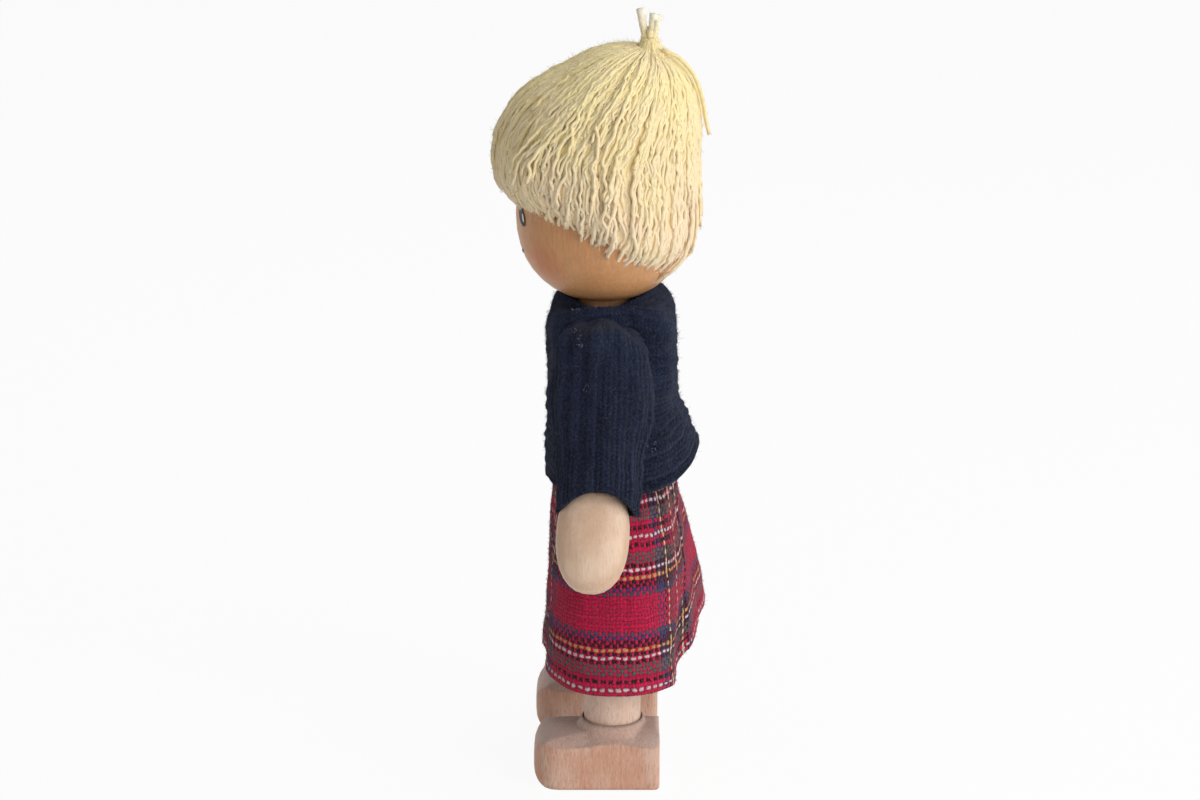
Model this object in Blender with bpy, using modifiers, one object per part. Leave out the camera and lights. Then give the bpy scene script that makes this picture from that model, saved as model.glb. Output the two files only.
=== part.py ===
"""A jointed wooden doll for a doll's house, with yarn hair, a knitted sweater and a gathered skirt.

Sizes are in metres. The doll stands on z = 0 and faces -Y, so its left side is at +X. The head turns on
its neck dowel, and the arms and legs swing on headed pegs that are glued into the torso.
"""

import math

import bmesh
import bpy
from mathutils import Matrix, Vector

# Gaps
FIT = 0.0003             # between pieces that touch or are glued together
PEG_PLAY = 0.0003        # all round a peg that a limb swings on, and round the neck in the head
CLOTH_GAP = 0.0005       # between a garment and what it covers

# Stance
BODY_Y = 0.0022          # torso and legs stand this far behind the middle of the doll's depth
NECK_Y = 0.0006          # neck, head and arms sit a little further forward
HIP_HEIGHT = 0.0430
LEG_SPLAY = math.radians(4.5)
ARM_LEAN = math.radians(15.5)
ARM_SWING = math.radians(3.3)  # how far the arms hang forward at rest

# Feet
FOOT_LENGTH = 0.0222
FOOT_WIDTH = 0.0140
HEEL_BEHIND_LEG = 0.0083
HEEL_HEIGHT = 0.0101
TOE_HEIGHT = 0.0086
ANKLE_HEIGHT = 0.0113
SIDE_HEIGHT = 0.0078     # the flat side, under the arched top
ARCH_RISE = 0.0026
TOE_NOSE_RADIUS = 0.0040
TOE_SOLE_RADIUS = 0.0030
TOE_PLAN_RADIUS = 0.0046
HEEL_RADIUS = 0.0011
ANKLE_RIM = 0.0001       # wood left round the leg's socket
ANKLE_COVE = 0.0045      # radius of the hollow that runs from the ankle down to the top of the foot
ANKLE_FLARE = math.radians(15)  # how far the hollow leans out where it starts
SOLE_UNDER_LEG = 0.0045  # wood left under the leg's socket

# Legs
LEG_DIAMETER = 0.0100
LEG_SEAT = 0.0044        # from the leg's axis to the flat that rubs on the pelvis

# Pegs
PEG_DIAMETER = 0.0030
PEG_HEAD_DIAMETER = 0.0054
PEG_HEAD_THICKNESS = 0.0014
PEG_HEAD_SUNK = 0.0026   # from the limb's outer side to the step that the head sits on
PEG_CHAMFER = 0.0005
PEG_IN_TORSO = 0.0042

# Torso: an oval wooden body, milled flat at the shoulders and at the pelvis
PELVIS_WIDTH = 0.0120
PELVIS_DROP = 0.0060     # below the hip axis
WAIST_WIDTH = 0.0164
WAIST_DEPTH = 0.0156
WAIST_RISE = 0.0170      # above the hip axis, up to where the elastic sits
CHEST_WIDTH = 0.0182
CHEST_DEPTH = 0.0166
CHEST_RISE = 0.0240
SHOULDER_WIDTH = 0.0196
SHOULDER_DEPTH = 0.0160
SHOULDER_RISE = 0.0360
SHOULDER_CROWN = 0.0025  # from the shoulder pegs up to the torso's top
SHOULDER_SLOPE = 0.0046  # how far the shoulders draw in towards the neck
SHOULDER_CURVE = 1.5     # 1 is a straight slope, more is rounder
SHOULDER_MILLED = 0.0006  # wood milled off each side, so that the arms rub on flats
TORSO_SQUARENESS = 2.2
THIGH_ROOM = 0.0006      # over the top of a swinging leg

# Arms and hands
ARM_DIAMETER = 0.0080
ARM_LENGTH = 0.0243      # from the shoulder peg to the wrist
TENON_DIAMETER = 0.0044
TENON_LENGTH = 0.0060
HAND_WIDTH = 0.0100
HAND_DEPTH = 0.0127
HAND_LENGTH = 0.0200
HAND_SQUARENESS = 2.3
WRIST_SUNK = 0.0020      # how far the arm's end sits below the top of the hand

# Neck and head
NECK_DIAMETER = 0.0090
NECK_IN_TORSO = 0.0070
NECK_IN_HEAD = 0.0090
NECK_SHOWING = 0.0034    # from the torso's top to the rim of the head's bore
HEAD_DIAMETER = 0.0305
HEAD_CROWN = 0.0195      # from the widest level up to the crown
HEAD_CHIN = 0.0152       # from the widest level down to the chin
HEAD_SQUARENESS = 2.2

# Hair: one mass of yarn over the head, with a blunt cut that slopes down to the nape
HAIR_WIDTH = 0.0362
HAIR_DEPTH = 0.0358
HAIR_FORWARD = 0.0011    # its middle lies this far in front of the head's axis
HAIR_TOP = 0.0298        # above the head's widest level
HAIR_BULGE_LEVEL = 0.0125  # the level of the fullest part, above the head's widest level
HAIR_HEM_DEPTH = 0.0260  # how far the mass reaches below its fullest part before it is cut
CROWN_BACK = 0.0055      # how far the top of the mass is drawn back towards the tie
CROWN_CURVE = 1.4        # 1 draws it back evenly, more draws back mostly the top
HAIR_HANG = 5.0          # squareness of the mass below its fullest part
HAIR_CUT_RADIUS = 0.0012
HAIR_TUCK = 0.0020       # how far the strands bend in towards the head at the cut
HAIR_TUCK_HEIGHT = 0.0070  # above the cut, where they begin to bend in
HAIR_TUCK_CURVE = 2.2    # more bends them closer to the cut
FRINGE_LEVEL = 0.0023    # the cut at the front, above the head's widest level
NAPE_LEVEL = -0.0102     # the cut at the back
FRINGE_END = -0.0085     # where the level fringe ends, from the hair's middle
NAPE_START = 0.0160      # where the sloping cut reaches the nape
TIE_BACK = 0.0091        # the tie lies this far behind the hair's middle
TIE_KNOT_RADIUS = 0.0014
TIE_STRAND_RADIUS = 0.0005
TIE_END_LENGTH = 0.0062
TIE_END_TILTS = ((-0.20, -0.10), (0.10, 0.22), (0.30, -0.28))  # each end's lean sideways and backward

# Skirt
SKIRT_CLOTH = 0.0006
SKIRT_HEM_HEIGHT = 0.0178
SKIRT_HEM_WIDTH = 0.0428
SKIRT_HEM_FRONT = 0.0121  # hem in front of the body's axis
SKIRT_HEM_BACK = 0.0150
SKIRT_HIP_EASE = 0.0008  # room between the top of a leg and the skirt
SKIRT_SQUARENESS = 2.5
SKIRT_FOLDS = (          # degrees from the left side round by the back, half width, depth at the hem
    (56, 22, -0.0033),
    (136, 20, 0.0046),
    (196, 15, -0.0010),
    (236, 15, 0.0008),
    (286, 15, -0.0005),
    (318, 15, 0.0006),
)
SKIRT_RISES = (          # where the hem rides up: degrees as above, half width, height
    (50, 16, -0.0022),
    (96, 40, 0.0076),
    (285, 45, 0.0015),
)
SKIRT_COLUMNS = 60
SKIRT_ROWS = 8
ELASTIC_THICKNESS = 0.0007
ELASTIC_HEIGHT = 0.0040

# Sweater
KNIT = 0.0009
SWEATER_HEM_RISE = 0.0096    # above the hip axis
SWEATER_BACK_RISE = 0.0057   # how far the hem rides up at the back
SWEATER_BACK_CURVE = 3.5     # more keeps that closer to the middle of the back
SWEATER_HEM_SIDE = 0.0147    # half its width at the hem
SWEATER_HEM_FRONT_EASE = 0.0007  # beyond the skirt's waist
SWEATER_HEM_BACK_EASE = 0.0043
SWEATER_SIDE_EASE = 0.0006   # between the knit and the sides of the shoulders
SWEATER_FRONT_EASE = 0.0022  # between the knit and the chest
SWEATER_BACK_EASE = 0.0022
NECKLINE_SIDE = 0.0072       # the neckband's reach from the neck's axis to each side
NECKLINE_FRONT = 0.0068
NECKLINE_BACK = 0.0084
NECKLINE_DIP = 0.0016        # how far the neckband sags at the sides
NECKBAND_UNDER_HEAD = 0.0006  # room between the neckband and the head in front and behind
NECKBAND_RADIUS = 0.0007
SWEATER_SQUARENESS = 2.4
SWEATER_COLUMNS = 16
SWEATER_ROWS = 3             # below the yoke
SWEATER_YOKE = 0.0150        # from the neckline down to the chest
SHOULDER_FALL = (            # shares of the way out from the neckline, of the yoke at the sides and middle
    (0.45, -0.08, 0.07),
    (0.82, -0.17, 0.19),
    (1.00, -0.05, 0.40),
    (1.00, 0.50, 0.67),
    (1.00, 1.00, 1.00),
)
ARMHOLE_EASE = 0.0005        # between the arm and the edge of the armhole

# Sleeves
SLEEVE_WIDTH = 0.0118        # across the arm
SLEEVE_DEPTH = 0.0148        # front to back
CUFF_WIDTH = 0.0132
CUFF_DEPTH = 0.0152
SLEEVE_LENGTH = 0.0285       # from the shoulder peg to the front of the cuff
CUFF_LIFT = 0.0052           # how far the cuff's outer edge rides up over the hand
CUFF_ARCH = 1.5              # more makes that arch narrower
SLEEVE_CAP = 0.0072          # from the shoulder peg up to the top of the sleeve
SLEEVE_COLUMNS = 12
SLEEVE_CAP_TURNS = (80, 55, 28)  # degrees up from the shoulder peg, for the rows over the cap
SLEEVE_ROWS = 4              # from the shoulder peg down

# Shapes in general
ELLIPSE = 2.0            # squareness of a plain ellipse: more is boxier
ROUND = 32               # segments of a full circle
PEG_ROUND = 16
STRAND_ROUND = 8
HEAD_ROWS = 20
HAIR_ROWS = 22
ARC_STEPS = 5
MILL = Vector((0.02, 0.05, 0.10))  # a block larger than any limb, to mill flats with
MERGE = 0.00001          # points closer than this are one point
SHARP_ANGLE = math.radians(35)
PIVOT_SIZE = 0.005

SIDES = (("left", 1), ("right", -1))

LEG_RADIUS = LEG_DIAMETER / 2
ARM_RADIUS = ARM_DIAMETER / 2
PEG_RADIUS = PEG_DIAMETER / 2
NECK_RADIUS = NECK_DIAMETER / 2
HEAD_RADIUS = HEAD_DIAMETER / 2

HIP_X = PELVIS_WIDTH / 2 + FIT + LEG_SEAT
SHOULDER_X = SHOULDER_WIDTH / 2 + FIT + ARM_RADIUS
SHOULDER_HEIGHT = HIP_HEIGHT + SHOULDER_RISE
TORSO_TOP_RISE = SHOULDER_RISE + SHOULDER_CROWN
TORSO_TOP = HIP_HEIGHT + TORSO_TOP_RISE


def head_underside(radius):
    """How far the head's underside lies below its widest level, at a radius from its axis."""
    return HEAD_CHIN * (1 - (radius / HEAD_RADIUS) ** HEAD_SQUARENESS) ** (1 / HEAD_SQUARENESS)


BORE_RIM = head_underside(NECK_RADIUS)
HEAD_LEVEL = TORSO_TOP + NECK_SHOWING + BORE_RIM
SKIRT_WAIST_HEIGHT = HIP_HEIGHT + WAIST_RISE
WAIST_STACK = FIT + ELASTIC_THICKNESS + FIT + SKIRT_CLOTH
SWEATER_SIDE = SHOULDER_WIDTH / 2 + SWEATER_SIDE_EASE + KNIT


def clear_scene():
    for obj in list(bpy.data.objects):
        bpy.data.objects.remove(obj, do_unlink=True)


def new_collection(name):
    collection = bpy.data.collections.new(name)
    bpy.context.scene.collection.children.link(collection)
    return collection


def material(name, colour, roughness):
    made = bpy.data.materials.new(name)
    made.use_nodes = True
    shader = made.node_tree.nodes["Principled BSDF"]
    shader.inputs["Base Color"].default_value = (*colour, 1.0)
    shader.inputs["Roughness"].default_value = roughness
    shader.inputs["Metallic"].default_value = 0.0
    return made


clear_scene()
PARTS = new_collection("miniature_doll")
CUTTERS = new_collection("cutters")
BEECH = material("beech", (0.62, 0.42, 0.27), 0.55)
HEAD_WOOD = material("head_wood", (0.47, 0.25, 0.12), 0.35)
YARN = material("cotton_yarn", (0.80, 0.66, 0.36), 0.90)
KNITWEAR = material("navy_knit", (0.014, 0.018, 0.035), 0.95)
TARTAN = material("red_tartan", (0.42, 0.03, 0.04), 0.85)
ELASTIC = material("elastic_band", (0.75, 0.73, 0.70), 0.80)


def pivot(name, place):
    """An empty on a joint's axis, which the pieces that move there hang from."""
    empty = bpy.data.objects.new(name, None)
    empty.location = place
    empty.empty_display_size = PIVOT_SIZE
    PARTS.objects.link(empty)
    return empty


def part(name, mesh, finish, place=(0, 0, 0), turn=(0, 0, 0), parent=None):
    """One sub-part. Its place is given in the world, also where it hangs from a pivot."""
    obj = bpy.data.objects.new(name, mesh)
    obj.location = Vector(place) - (parent.location if parent else Vector())
    obj.rotation_euler = turn
    obj.parent = parent
    if mesh.polygons:
        mesh.shade_smooth()
        mesh.set_sharp_from_angle(angle=SHARP_ANGLE)
    mesh.materials.append(finish)
    PARTS.objects.link(obj)
    return obj


def cutter(name, mesh, place=(0, 0, 0), turn=(0, 0, 0)):
    obj = bpy.data.objects.new(name, mesh)
    obj.location = place
    obj.rotation_euler = turn
    obj.hide_render = True
    obj.display_type = "WIRE"
    CUTTERS.objects.link(obj)
    return obj


def boolean(obj, other, operation="DIFFERENCE"):
    modifier = obj.modifiers.new(other.name, "BOOLEAN")
    modifier.operation = operation
    modifier.object = other


def mesh_of(name, bm):
    mesh = bpy.data.meshes.new(name)
    bm.to_mesh(mesh)
    bm.free()
    return mesh


def rod(name, radius, length, axis="Z", segments=ROUND):
    """A closed cylinder, centred on its origin."""
    bm = bmesh.new()
    bmesh.ops.create_cone(bm, cap_ends=True, segments=segments, radius1=radius, radius2=radius, depth=length)
    if axis == "X":
        bm.transform(Matrix.Rotation(math.pi / 2, 4, "Y"))
    return mesh_of(name, bm)


def block(name, size):
    """A box of the given size, centred on its origin."""
    bm = bmesh.new()
    bmesh.ops.create_cube(bm, size=1.0)
    bmesh.ops.scale(bm, vec=size, verts=bm.verts)
    return mesh_of(name, bm)


def turned(obj, steps=ROUND):
    """Turns the profile that is the object's mesh into a solid of revolution."""
    screw = obj.modifiers.new("turning", "SCREW")
    screw.steps = steps
    screw.render_steps = steps
    screw.use_merge_vertices = True
    screw.merge_threshold = MERGE
    screw.use_smooth_shade = True
    return obj


def profile(name, points):
    """A half section: (radius, height) points that run down the outer side."""
    mesh = bpy.data.meshes.new(name)
    corners = [(radius, 0.0, height) for radius, height in points]
    edges = [(i, i + 1) for i in range(len(corners) - 1)]
    mesh.from_pydata(corners, edges, [])
    return mesh


def filleted(corners):
    """The closed outline through (a, b, radius) corners, each rounded by an arc."""
    points = []
    for i, (a, b, radius) in enumerate(corners):
        here = Vector((a, b))
        back = (Vector(corners[i - 1][:2]) - here).normalized()
        ahead = (Vector(corners[(i + 1) % len(corners)][:2]) - here).normalized()
        half = back.angle(ahead) / 2
        centre = here + (back + ahead).normalized() * radius / math.sin(half)
        start = here + back * radius / math.tan(half) - centre
        end = here + ahead * radius / math.tan(half) - centre
        turn = start.angle_signed(end)
        for k in range(ARC_STEPS + 1):
            points.append(centre + Matrix.Rotation(-turn * k / ARC_STEPS, 2) @ start)
    return points


def prism(name, outline, depth):
    """The outline as a flat curve, extruded to the depth and made a closed mesh."""
    curve = bpy.data.curves.new(name, "CURVE")
    curve.dimensions = "2D"
    curve.fill_mode = "BOTH"
    curve.extrude = depth / 2
    spline = curve.splines.new("POLY")
    spline.points.add(len(outline) - 1)
    for point, (a, b) in zip(spline.points, outline):
        point.co = (a, b, 0.0, 1.0)
    spline.use_cyclic_u = True
    guide = bpy.data.objects.new(name, curve)
    CUTTERS.objects.link(guide)
    graph = bpy.context.evaluated_depsgraph_get()
    mesh = bpy.data.meshes.new_from_object(guide.evaluated_get(graph))
    bpy.data.objects.remove(guide, do_unlink=True)
    bm = bmesh.new()
    bm.from_mesh(mesh)
    bmesh.ops.remove_doubles(bm, verts=bm.verts, dist=MERGE)
    bmesh.ops.recalc_face_normals(bm, faces=bm.faces)
    bm.to_mesh(mesh)
    bm.free()
    mesh.materials.clear()
    return mesh


# The outline's two axes and its depth, laid along Y, Z and X, or along X, Z and -Y
SIDE_VIEW = Matrix(((0, 0, 1, 0), (1, 0, 0, 0), (0, 1, 0, 0), (0, 0, 0, 1)))
FRONT_VIEW = Matrix.Rotation(math.pi / 2, 4, "X")


def loft(name, rings, capped=False, looped=False):
    """Rings of points, from the top down and each turning left round +Z, joined by quads."""
    bm = bmesh.new()
    rows = [[bm.verts.new(point) for point in ring] for ring in rings]
    following = rows[1:] + rows[:1] if looped else rows[1:]
    for upper, lower in zip(rows, following):
        for j in range(len(upper)):
            k = (j + 1) % len(upper)
            bm.faces.new((upper[j], lower[j], lower[k], upper[k]))
    if capped:
        bm.faces.new(rows[0])
        bm.faces.new(list(reversed(rows[-1])))
    return mesh_of(name, bm)


def oval(angle, side, front, back, squareness):
    """A point of an oval whose front and back depths differ, in the direction of the angle."""
    across = math.cos(angle)
    along = math.sin(angle)
    depth = back if along > 0 else front
    power = abs(across / side) ** squareness + abs(along / depth) ** squareness
    reach = power ** (-1 / squareness)
    return across * reach, along * reach


def angles(columns):
    return [2 * math.pi * j / columns for j in range(columns)]


def soften(obj):
    smooth = obj.modifiers.new("soft", "SUBSURF")
    smooth.levels = 1
    smooth.render_levels = 1


def thicken(obj, thickness):
    """Gives an open surface its thickness, inwards."""
    shell = obj.modifiers.new("cloth", "SOLIDIFY")
    shell.thickness = thickness
    shell.offset = -1.0
    shell.use_even_offset = True


def smoothstep(share):
    share = min(max(share, 0.0), 1.0)
    return share * share * (3 - 2 * share)


def mix(a, b, share):
    return a + (b - a) * share


# Torso

def torso_half(rise):
    """Half the torso's width and depth at a height above the hip axis."""
    levels = (
        (0.0, WAIST_WIDTH, WAIST_DEPTH),
        (WAIST_RISE, WAIST_WIDTH, WAIST_DEPTH),
        (CHEST_RISE, CHEST_WIDTH, CHEST_DEPTH),
        (SHOULDER_RISE, SHOULDER_WIDTH, SHOULDER_DEPTH),
        (TORSO_TOP_RISE, SHOULDER_WIDTH, SHOULDER_DEPTH),
    )
    for (low, width, depth), (high, next_width, next_depth) in zip(levels, levels[1:]):
        if rise <= high:
            share = (rise - low) / (high - low)
            return mix(width, next_width, share) / 2, mix(depth, next_depth, share) / 2
    return SHOULDER_WIDTH / 2, SHOULDER_DEPTH / 2


def torso_rings():
    """Rings from the shoulders down: a rounded top, a body that narrows to the waist, and a rounded seat."""
    levels = []
    for share in (1.0, 0.8, 0.5, 0.25, 0.0):
        rise = mix(SHOULDER_RISE, TORSO_TOP_RISE, share)
        levels.append((rise, SHOULDER_SLOPE * share ** SHOULDER_CURVE - SHOULDER_MILLED))
    levels += [(CHEST_RISE, 0.0), (WAIST_RISE, 0.0), (0.0, 0.0)]
    for turn in (30, 60, 85):
        slope = math.radians(turn)
        levels.append((-PELVIS_DROP * math.sin(slope), PELVIS_DROP * (1 - math.cos(slope))))
    rings = []
    for rise, inset in levels:
        side, depth = torso_half(max(rise, 0.0))
        side, depth = side - inset, depth - inset
        rings.append([(*oval(a, side, depth, depth, TORSO_SQUARENESS), rise) for a in angles(ROUND)])
    return rings


def make_torso():
    hip_centre = (0, BODY_Y, HIP_HEIGHT)
    torso = part("torso", loft("torso", torso_rings(), capped=True), BEECH, hip_centre)
    thigh_top = LEG_RADIUS + THIGH_ROOM
    recess = (WAIST_WIDTH, 2 * WAIST_DEPTH, PELVIS_DROP + 2 * thigh_top)
    for name, side in SIDES:
        hip = (side * (PELVIS_WIDTH + recess[0]) / 2, BODY_Y, HIP_HEIGHT + thigh_top - recess[2] / 2)
        boolean(torso, cutter(name + "_thigh_recess", block(name + "_thigh_recess", recess), hip))
        peg_bore = rod(name + "_hip_bore", PEG_RADIUS + FIT, 2 * (PEG_IN_TORSO + FIT), "X", PEG_ROUND)
        boolean(torso, cutter(name + "_hip_bore", peg_bore, (side * PELVIS_WIDTH / 2, BODY_Y, HIP_HEIGHT)))
        peg_bore = rod(name + "_shoulder_bore", PEG_RADIUS + FIT, 2 * (PEG_IN_TORSO + FIT), "X", PEG_ROUND)
        shoulder = Vector((side * SHOULDER_WIDTH / 2, NECK_Y, SHOULDER_HEIGHT))
        boolean(torso, cutter(name + "_shoulder_bore", peg_bore, shoulder))
        flat = block(name + "_shoulder_flat", MILL)
        boolean(torso, cutter(name + "_shoulder_flat", flat, shoulder + Vector((side * MILL.x / 2, 0, 0))))
    socket = rod("neck_socket", NECK_RADIUS + FIT, 2 * (NECK_IN_TORSO + FIT))
    boolean(torso, cutter("neck_socket", socket, (0, NECK_Y, TORSO_TOP)))


# Pegs

def make_peg(name, side, seat, place, limb_outer):
    """A headed peg along X. The seat is the face of the torso that it is glued into."""
    step = limb_outer - PEG_HEAD_SUNK
    head = PEG_HEAD_DIAMETER / 2
    top = step + FIT + PEG_HEAD_THICKNESS
    points = [
        (0, top),
        (head - PEG_CHAMFER, top),
        (head, top - PEG_CHAMFER),
        (head, step + FIT),
        (PEG_RADIUS, step + FIT),
        (PEG_RADIUS, seat - PEG_IN_TORSO),
        (0, seat - PEG_IN_TORSO),
    ]
    turn = (0, side * math.pi / 2, 0)
    turned(part(name, profile(name, points), BEECH, place, turn), PEG_ROUND)


def cut_peg_hole(obj, name, side, place, limb_outer):
    """Bores a limb for its peg and sinks the peg's head into the outer side."""
    reach = 2 * limb_outer
    bore = rod(name + "_peg_bore", PEG_RADIUS + PEG_PLAY, 2 * reach, "X", PEG_ROUND)
    boolean(obj, cutter(name + "_peg_bore", bore, place))
    sunk = rod(name + "_peg_sink", PEG_HEAD_DIAMETER / 2 + PEG_PLAY, reach, "X", PEG_ROUND)
    outward = limb_outer - PEG_HEAD_SUNK + reach / 2
    boolean(obj, cutter(name + "_peg_sink", sunk, Vector(place) + Vector((side * outward, 0, 0))))


def cut_seat(obj, name, side, place, seat):
    """Mills a limb flat where it rubs on the torso. The seat is measured from the peg's middle."""
    shift = Vector((-side * (seat + MILL.x / 2), 0, 0))
    boolean(obj, cutter(name + "_seat", block(name + "_seat", MILL), Vector(place) + shift))


# Legs and feet

def foot_outlines():
    """The foot's side, top and front outlines, about the leg's axis."""
    heel = HEEL_BEHIND_LEG
    toe = HEEL_BEHIND_LEG - FOOT_LENGTH
    side = filleted((
        (heel, 0.0, HEEL_RADIUS / 2),
        (toe, 0.0, TOE_SOLE_RADIUS),
        (toe, TOE_HEIGHT, TOE_NOSE_RADIUS),
        (0.0, SIDE_HEIGHT + ARCH_RISE, HEEL_RADIUS),
        (heel, HEEL_HEIGHT, HEEL_RADIUS),
    ))
    half = FOOT_WIDTH / 2
    plan = filleted((
        (-half, heel, HEEL_RADIUS),
        (-half, toe, TOE_PLAN_RADIUS),
        (half, toe, TOE_PLAN_RADIUS),
        (half, heel, HEEL_RADIUS),
    ))
    bend = (half * half + ARCH_RISE * ARCH_RISE) / (2 * ARCH_RISE)
    spread = math.asin(half / bend)
    front = [(-half, 0.0)]
    for k in range(2 * ARC_STEPS + 1):
        lean = spread * (k / ARC_STEPS - 1)
        front.append((bend * math.sin(lean), SIDE_HEIGHT + ARCH_RISE - bend * (1 - math.cos(lean))))
    front.append((half, 0.0))
    return side, plan, front


def ankle_profile():
    """The collar round the leg: a thin rim, then a hollow that flares out on to the foot."""
    rim = LEG_RADIUS + FIT + ANKLE_RIM
    points = [(0.0, ANKLE_HEIGHT)]
    for k in range(ARC_STEPS + 1):
        lean = ANKLE_FLARE + (math.pi / 2 - ANKLE_FLARE) * k / ARC_STEPS
        out = math.cos(ANKLE_FLARE) - math.cos(lean)
        fall = math.sin(lean) - math.sin(ANKLE_FLARE)
        points.append((rim + ANKLE_COVE * out, ANKLE_HEIGHT - ANKLE_COVE * fall))
    points.append((rim + ANKLE_COVE * math.cos(ANKLE_FLARE), SOLE_UNDER_LEG))
    points.append((0.0, SOLE_UNDER_LEG))
    return points


def make_leg(name, side):
    hip = Vector((side * HIP_X, BODY_Y, HIP_HEIGHT))
    swing = pivot(name + "_hip", hip)
    splay = (0, -side * LEG_SPLAY, 0)
    floor_x = HIP_X + HIP_HEIGHT * math.tan(LEG_SPLAY)
    ankle_x = floor_x - ANKLE_HEIGHT * math.tan(LEG_SPLAY)
    length = (HIP_HEIGHT - SOLE_UNDER_LEG - FIT) / math.cos(LEG_SPLAY) - LEG_RADIUS * math.tan(LEG_SPLAY)
    points = []
    for k in range(ARC_STEPS + 2):
        lean = math.pi / 2 * k / (ARC_STEPS + 1)
        points.append((LEG_RADIUS * math.sin(lean), LEG_RADIUS * math.cos(lean)))
    points += [(LEG_RADIUS, -length), (0.0, -length)]
    leg = turned(part(name + "_leg", profile(name + "_leg", points), BEECH, hip, splay, swing))
    cut_seat(leg, name + "_leg", side, hip, LEG_SEAT)
    cut_peg_hole(leg, name + "_leg", side, hip, LEG_RADIUS)

    side_view, plan_view, front_view = foot_outlines()
    mesh = prism(name + "_foot", side_view, 2 * FOOT_WIDTH)
    mesh.transform(SIDE_VIEW)
    middle = Vector((side * (floor_x + ankle_x) / 2, BODY_Y, 0))
    foot = part(name + "_foot", mesh, BEECH, middle, (0, 0, 0), swing)
    arch = prism(name + "_foot_arch", front_view, 4 * FOOT_LENGTH)
    arch.transform(FRONT_VIEW)
    boolean(foot, cutter(name + "_foot_arch", arch, middle), "INTERSECT")
    ankle = cutter(name + "_ankle", profile(name + "_ankle", ankle_profile()), (side * ankle_x, BODY_Y, 0))
    boolean(foot, turned(ankle), "UNION")
    plan = cutter(name + "_foot_plan", prism(name + "_foot_plan", plan_view, 4 * ANKLE_HEIGHT), middle)
    boolean(foot, plan, "INTERSECT")
    socket = profile(name + "_leg_socket", [
        (0.0, 0.0),
        (LEG_RADIUS + FIT, 0.0),
        (LEG_RADIUS + FIT, -length - FIT),
        (0.0, -length - FIT),
    ])
    boolean(foot, turned(cutter(name + "_leg_socket", socket, hip, splay)))

    make_peg(name + "_hip_peg", side, -(HIP_X - PELVIS_WIDTH / 2), hip, LEG_RADIUS)


# Arms and hands

def make_hand(name, side, shoulder, lean, swing):
    """An egg-shaped hand, longer than it is deep and deeper than it is wide, bored for the arm's tenon."""
    bm = bmesh.new()
    bmesh.ops.create_uvsphere(bm, u_segments=ROUND, v_segments=ROUND // 2, radius=1.0)
    half = Vector((HAND_WIDTH, HAND_DEPTH, HAND_LENGTH)) / 2
    drop = ARM_LENGTH - WRIST_SUNK + HAND_LENGTH / 2
    for vert in bm.verts:
        power = sum(abs(c) ** HAND_SQUARENESS for c in vert.co)
        on_egg = vert.co * power ** (-1 / HAND_SQUARENESS)
        vert.co = (on_egg.x * half.x, on_egg.y * half.y, on_egg.z * half.z - drop)
    hand = part(name + "_hand", mesh_of(name + "_hand", bm), BEECH, shoulder, lean, swing)
    wrist = ARM_LENGTH + FIT
    tenon = TENON_DIAMETER / 2 + FIT
    socket = profile(name + "_wrist_socket", [
        (0.0, 0.0),
        (ARM_RADIUS + FIT, 0.0),
        (ARM_RADIUS + FIT, -wrist),
        (tenon, -wrist),
        (tenon, -wrist - TENON_LENGTH),
        (0.0, -wrist - TENON_LENGTH),
    ])
    boolean(hand, turned(cutter(name + "_wrist_socket", socket, shoulder, lean)))


def sleeve_rings(inset):
    """Rings from the top of the sleeve cap down to the cuff, about the shoulder peg."""
    sleeve_side, sleeve_depth = SLEEVE_WIDTH / 2 - inset, SLEEVE_DEPTH / 2 - inset
    cuff_side, cuff_depth = CUFF_WIDTH / 2 - inset, CUFF_DEPTH / 2 - inset
    around = angles(SLEEVE_COLUMNS)
    rings = []
    for turn in SLEEVE_CAP_TURNS:
        slope = math.radians(turn)
        side, depth = sleeve_side * math.cos(slope), sleeve_depth * math.cos(slope)
        height = (SLEEVE_CAP - inset) * math.sin(slope)
        rings.append([(*oval(a, side, depth, depth, ELLIPSE), height) for a in around])
    for i in range(SLEEVE_ROWS + 1):
        share = i / SLEEVE_ROWS
        side, depth = mix(sleeve_side, cuff_side, share), mix(sleeve_depth, cuff_depth, share)
        ring = []
        for a in around:
            lift = CUFF_LIFT * max(math.cos(a), 0.0) ** CUFF_ARCH
            ring.append((*oval(a, side, depth, depth, ELLIPSE), -share * (SLEEVE_LENGTH - lift)))
        rings.append(ring)
    return rings


def make_sleeve(name, side, shoulder, lean, swing):
    rings = sleeve_rings(0.0) + sleeve_rings(KNIT)[::-1]
    if side < 0:
        rings = [[(-x, y, z) for x, y, z in reversed(ring)] for ring in rings]
    mesh = loft(name + "_sleeve", rings, capped=True)
    sleeve = part(name + "_sleeve", mesh, KNITWEAR, shoulder, lean, swing)
    soften(sleeve)
    cut_seat(sleeve, name + "_sleeve", side, shoulder, SHOULDER_X - SWEATER_SIDE - FIT)


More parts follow.
